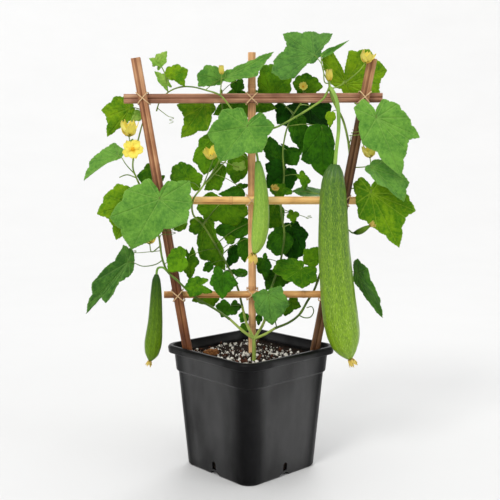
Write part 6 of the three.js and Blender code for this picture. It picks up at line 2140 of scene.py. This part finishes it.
@dataclass
class Studio:
    """Plain pale floor, soft light and the camera at the photograph's angle."""

    camera_at: Triple = (-0.0015, -1.6395, 0.6022)
    camera_pitch: float = math.radians(90 - 5.99)
    focal_pixels: float = 842.8
    frame_pixels: float = 500.0
    floor_size: float = 14.0
    flat_floor: float = 3.0
    floor_curve: float = 0.06
    floor_dark: Colour = (213, 213, 213)
    floor_light: Colour = (218, 218, 218)
    floor_rings: int = 60
    floor_sides: int = 96
    lit_spot: Triple = (0, 0, 0.45)

    def camera(self) -> None:
        """Sets the camera up."""
        data = bpy.data.cameras.new("camera")
        data.sensor_width = 36.0
        data.lens = self.focal_pixels / self.frame_pixels * data.sensor_width
        data.clip_end = 200.0
        camera = linked("camera", data)
        camera.location = self.camera_at
        camera.rotation_euler = (self.camera_pitch, 0, 0)
        bpy.context.scene.camera = camera

    def floor(self) -> None:
        """Lays the floor, a sheet that is flat under the plant and curves up far away all round."""
        rings, sides = self.floor_rings, self.floor_sides
        reach = np.linspace(0, self.floor_size, rings + 1)[1:]
        rise = np.maximum(0.0, reach - self.flat_floor) ** 2 * self.floor_curve
        turn = np.arange(sides) / sides * math.tau
        points = [(0, 0, 0)]
        points += [(r * math.cos(t), r * math.sin(t), z) for r, z in zip(reach, rise) for t in turn]
        faces = [(0, 1 + j, 1 + (j + 1) % sides) for j in range(sides)]
        faces += (grid_faces(rings, sides)[:, ::-1] + 1).tolist()
        mesh = mesh_from("floor", points, faces)
        sketch = Sketch("floor_pale", {"Roughness": 0.7, "Specular IOR Level": 0.2})
        cloud = sketch.noise(sketch.place(), 2.0)
        colour = sketch.ramp(cloud, [(0, self.floor_dark), (1, self.floor_light)])
        mesh.materials.append(sketch.finish(colour))
        linked("floor", mesh)

    def lamp(self, name: str, at: Triple, width: float, power: float, colour: Triple) -> None:
        """One wide soft light from far away, as even over the floor as over the plant."""
        data = bpy.data.lights.new(name, "SUN")
        data.angle, data.energy, data.color = math.radians(width), power, colour
        lamp = linked(name, data)
        lamp.location = at
        lamp.rotation_euler = (Vector(self.lit_spot) - Vector(at)).to_track_quat("-Z", "Y").to_euler()

    def build(self) -> None:
        """Builds the whole studio."""
        self.camera()
        self.floor()
        self.lamp("key", (-1.5, -2.3, 2.6), 20, 1.2, (1.0, 0.99, 0.97))
        self.lamp("fill", (2.5, -1.2, 1.7), 28, 0.75, (0.97, 0.99, 1.0))
        self.lamp("back", (0.6, 2.4, 2.4), 34, 0.95, (1.0, 1.0, 1.0))
        world = bpy.data.worlds.new("studio")
        world.use_nodes = True
        world.node_tree.nodes["Background"].inputs["Color"].default_value = (1, 1, 1, 1)
        world.node_tree.nodes["Background"].inputs["Strength"].default_value = 0.95
        bpy.context.scene.world = world
        bpy.context.scene.view_settings.view_transform = "Standard"


def main() -> None:
    """Loads the frame, builds each part in order and notes the sizes."""
    logging.basicConfig(level=logging.INFO, format="%(name)s %(message)s")
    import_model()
    Studio().build()
    pot = Pot()
    pot.build()
    SoilBed(pot).build()
    Trellis().build()
    MainStem().build()
    for part in (*RUNNERS, *LUFFAS, *BLOOMS):
        part.build()
        LOG.info("%s done", part.name)
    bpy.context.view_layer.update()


if __name__ == "__main__":
    main()
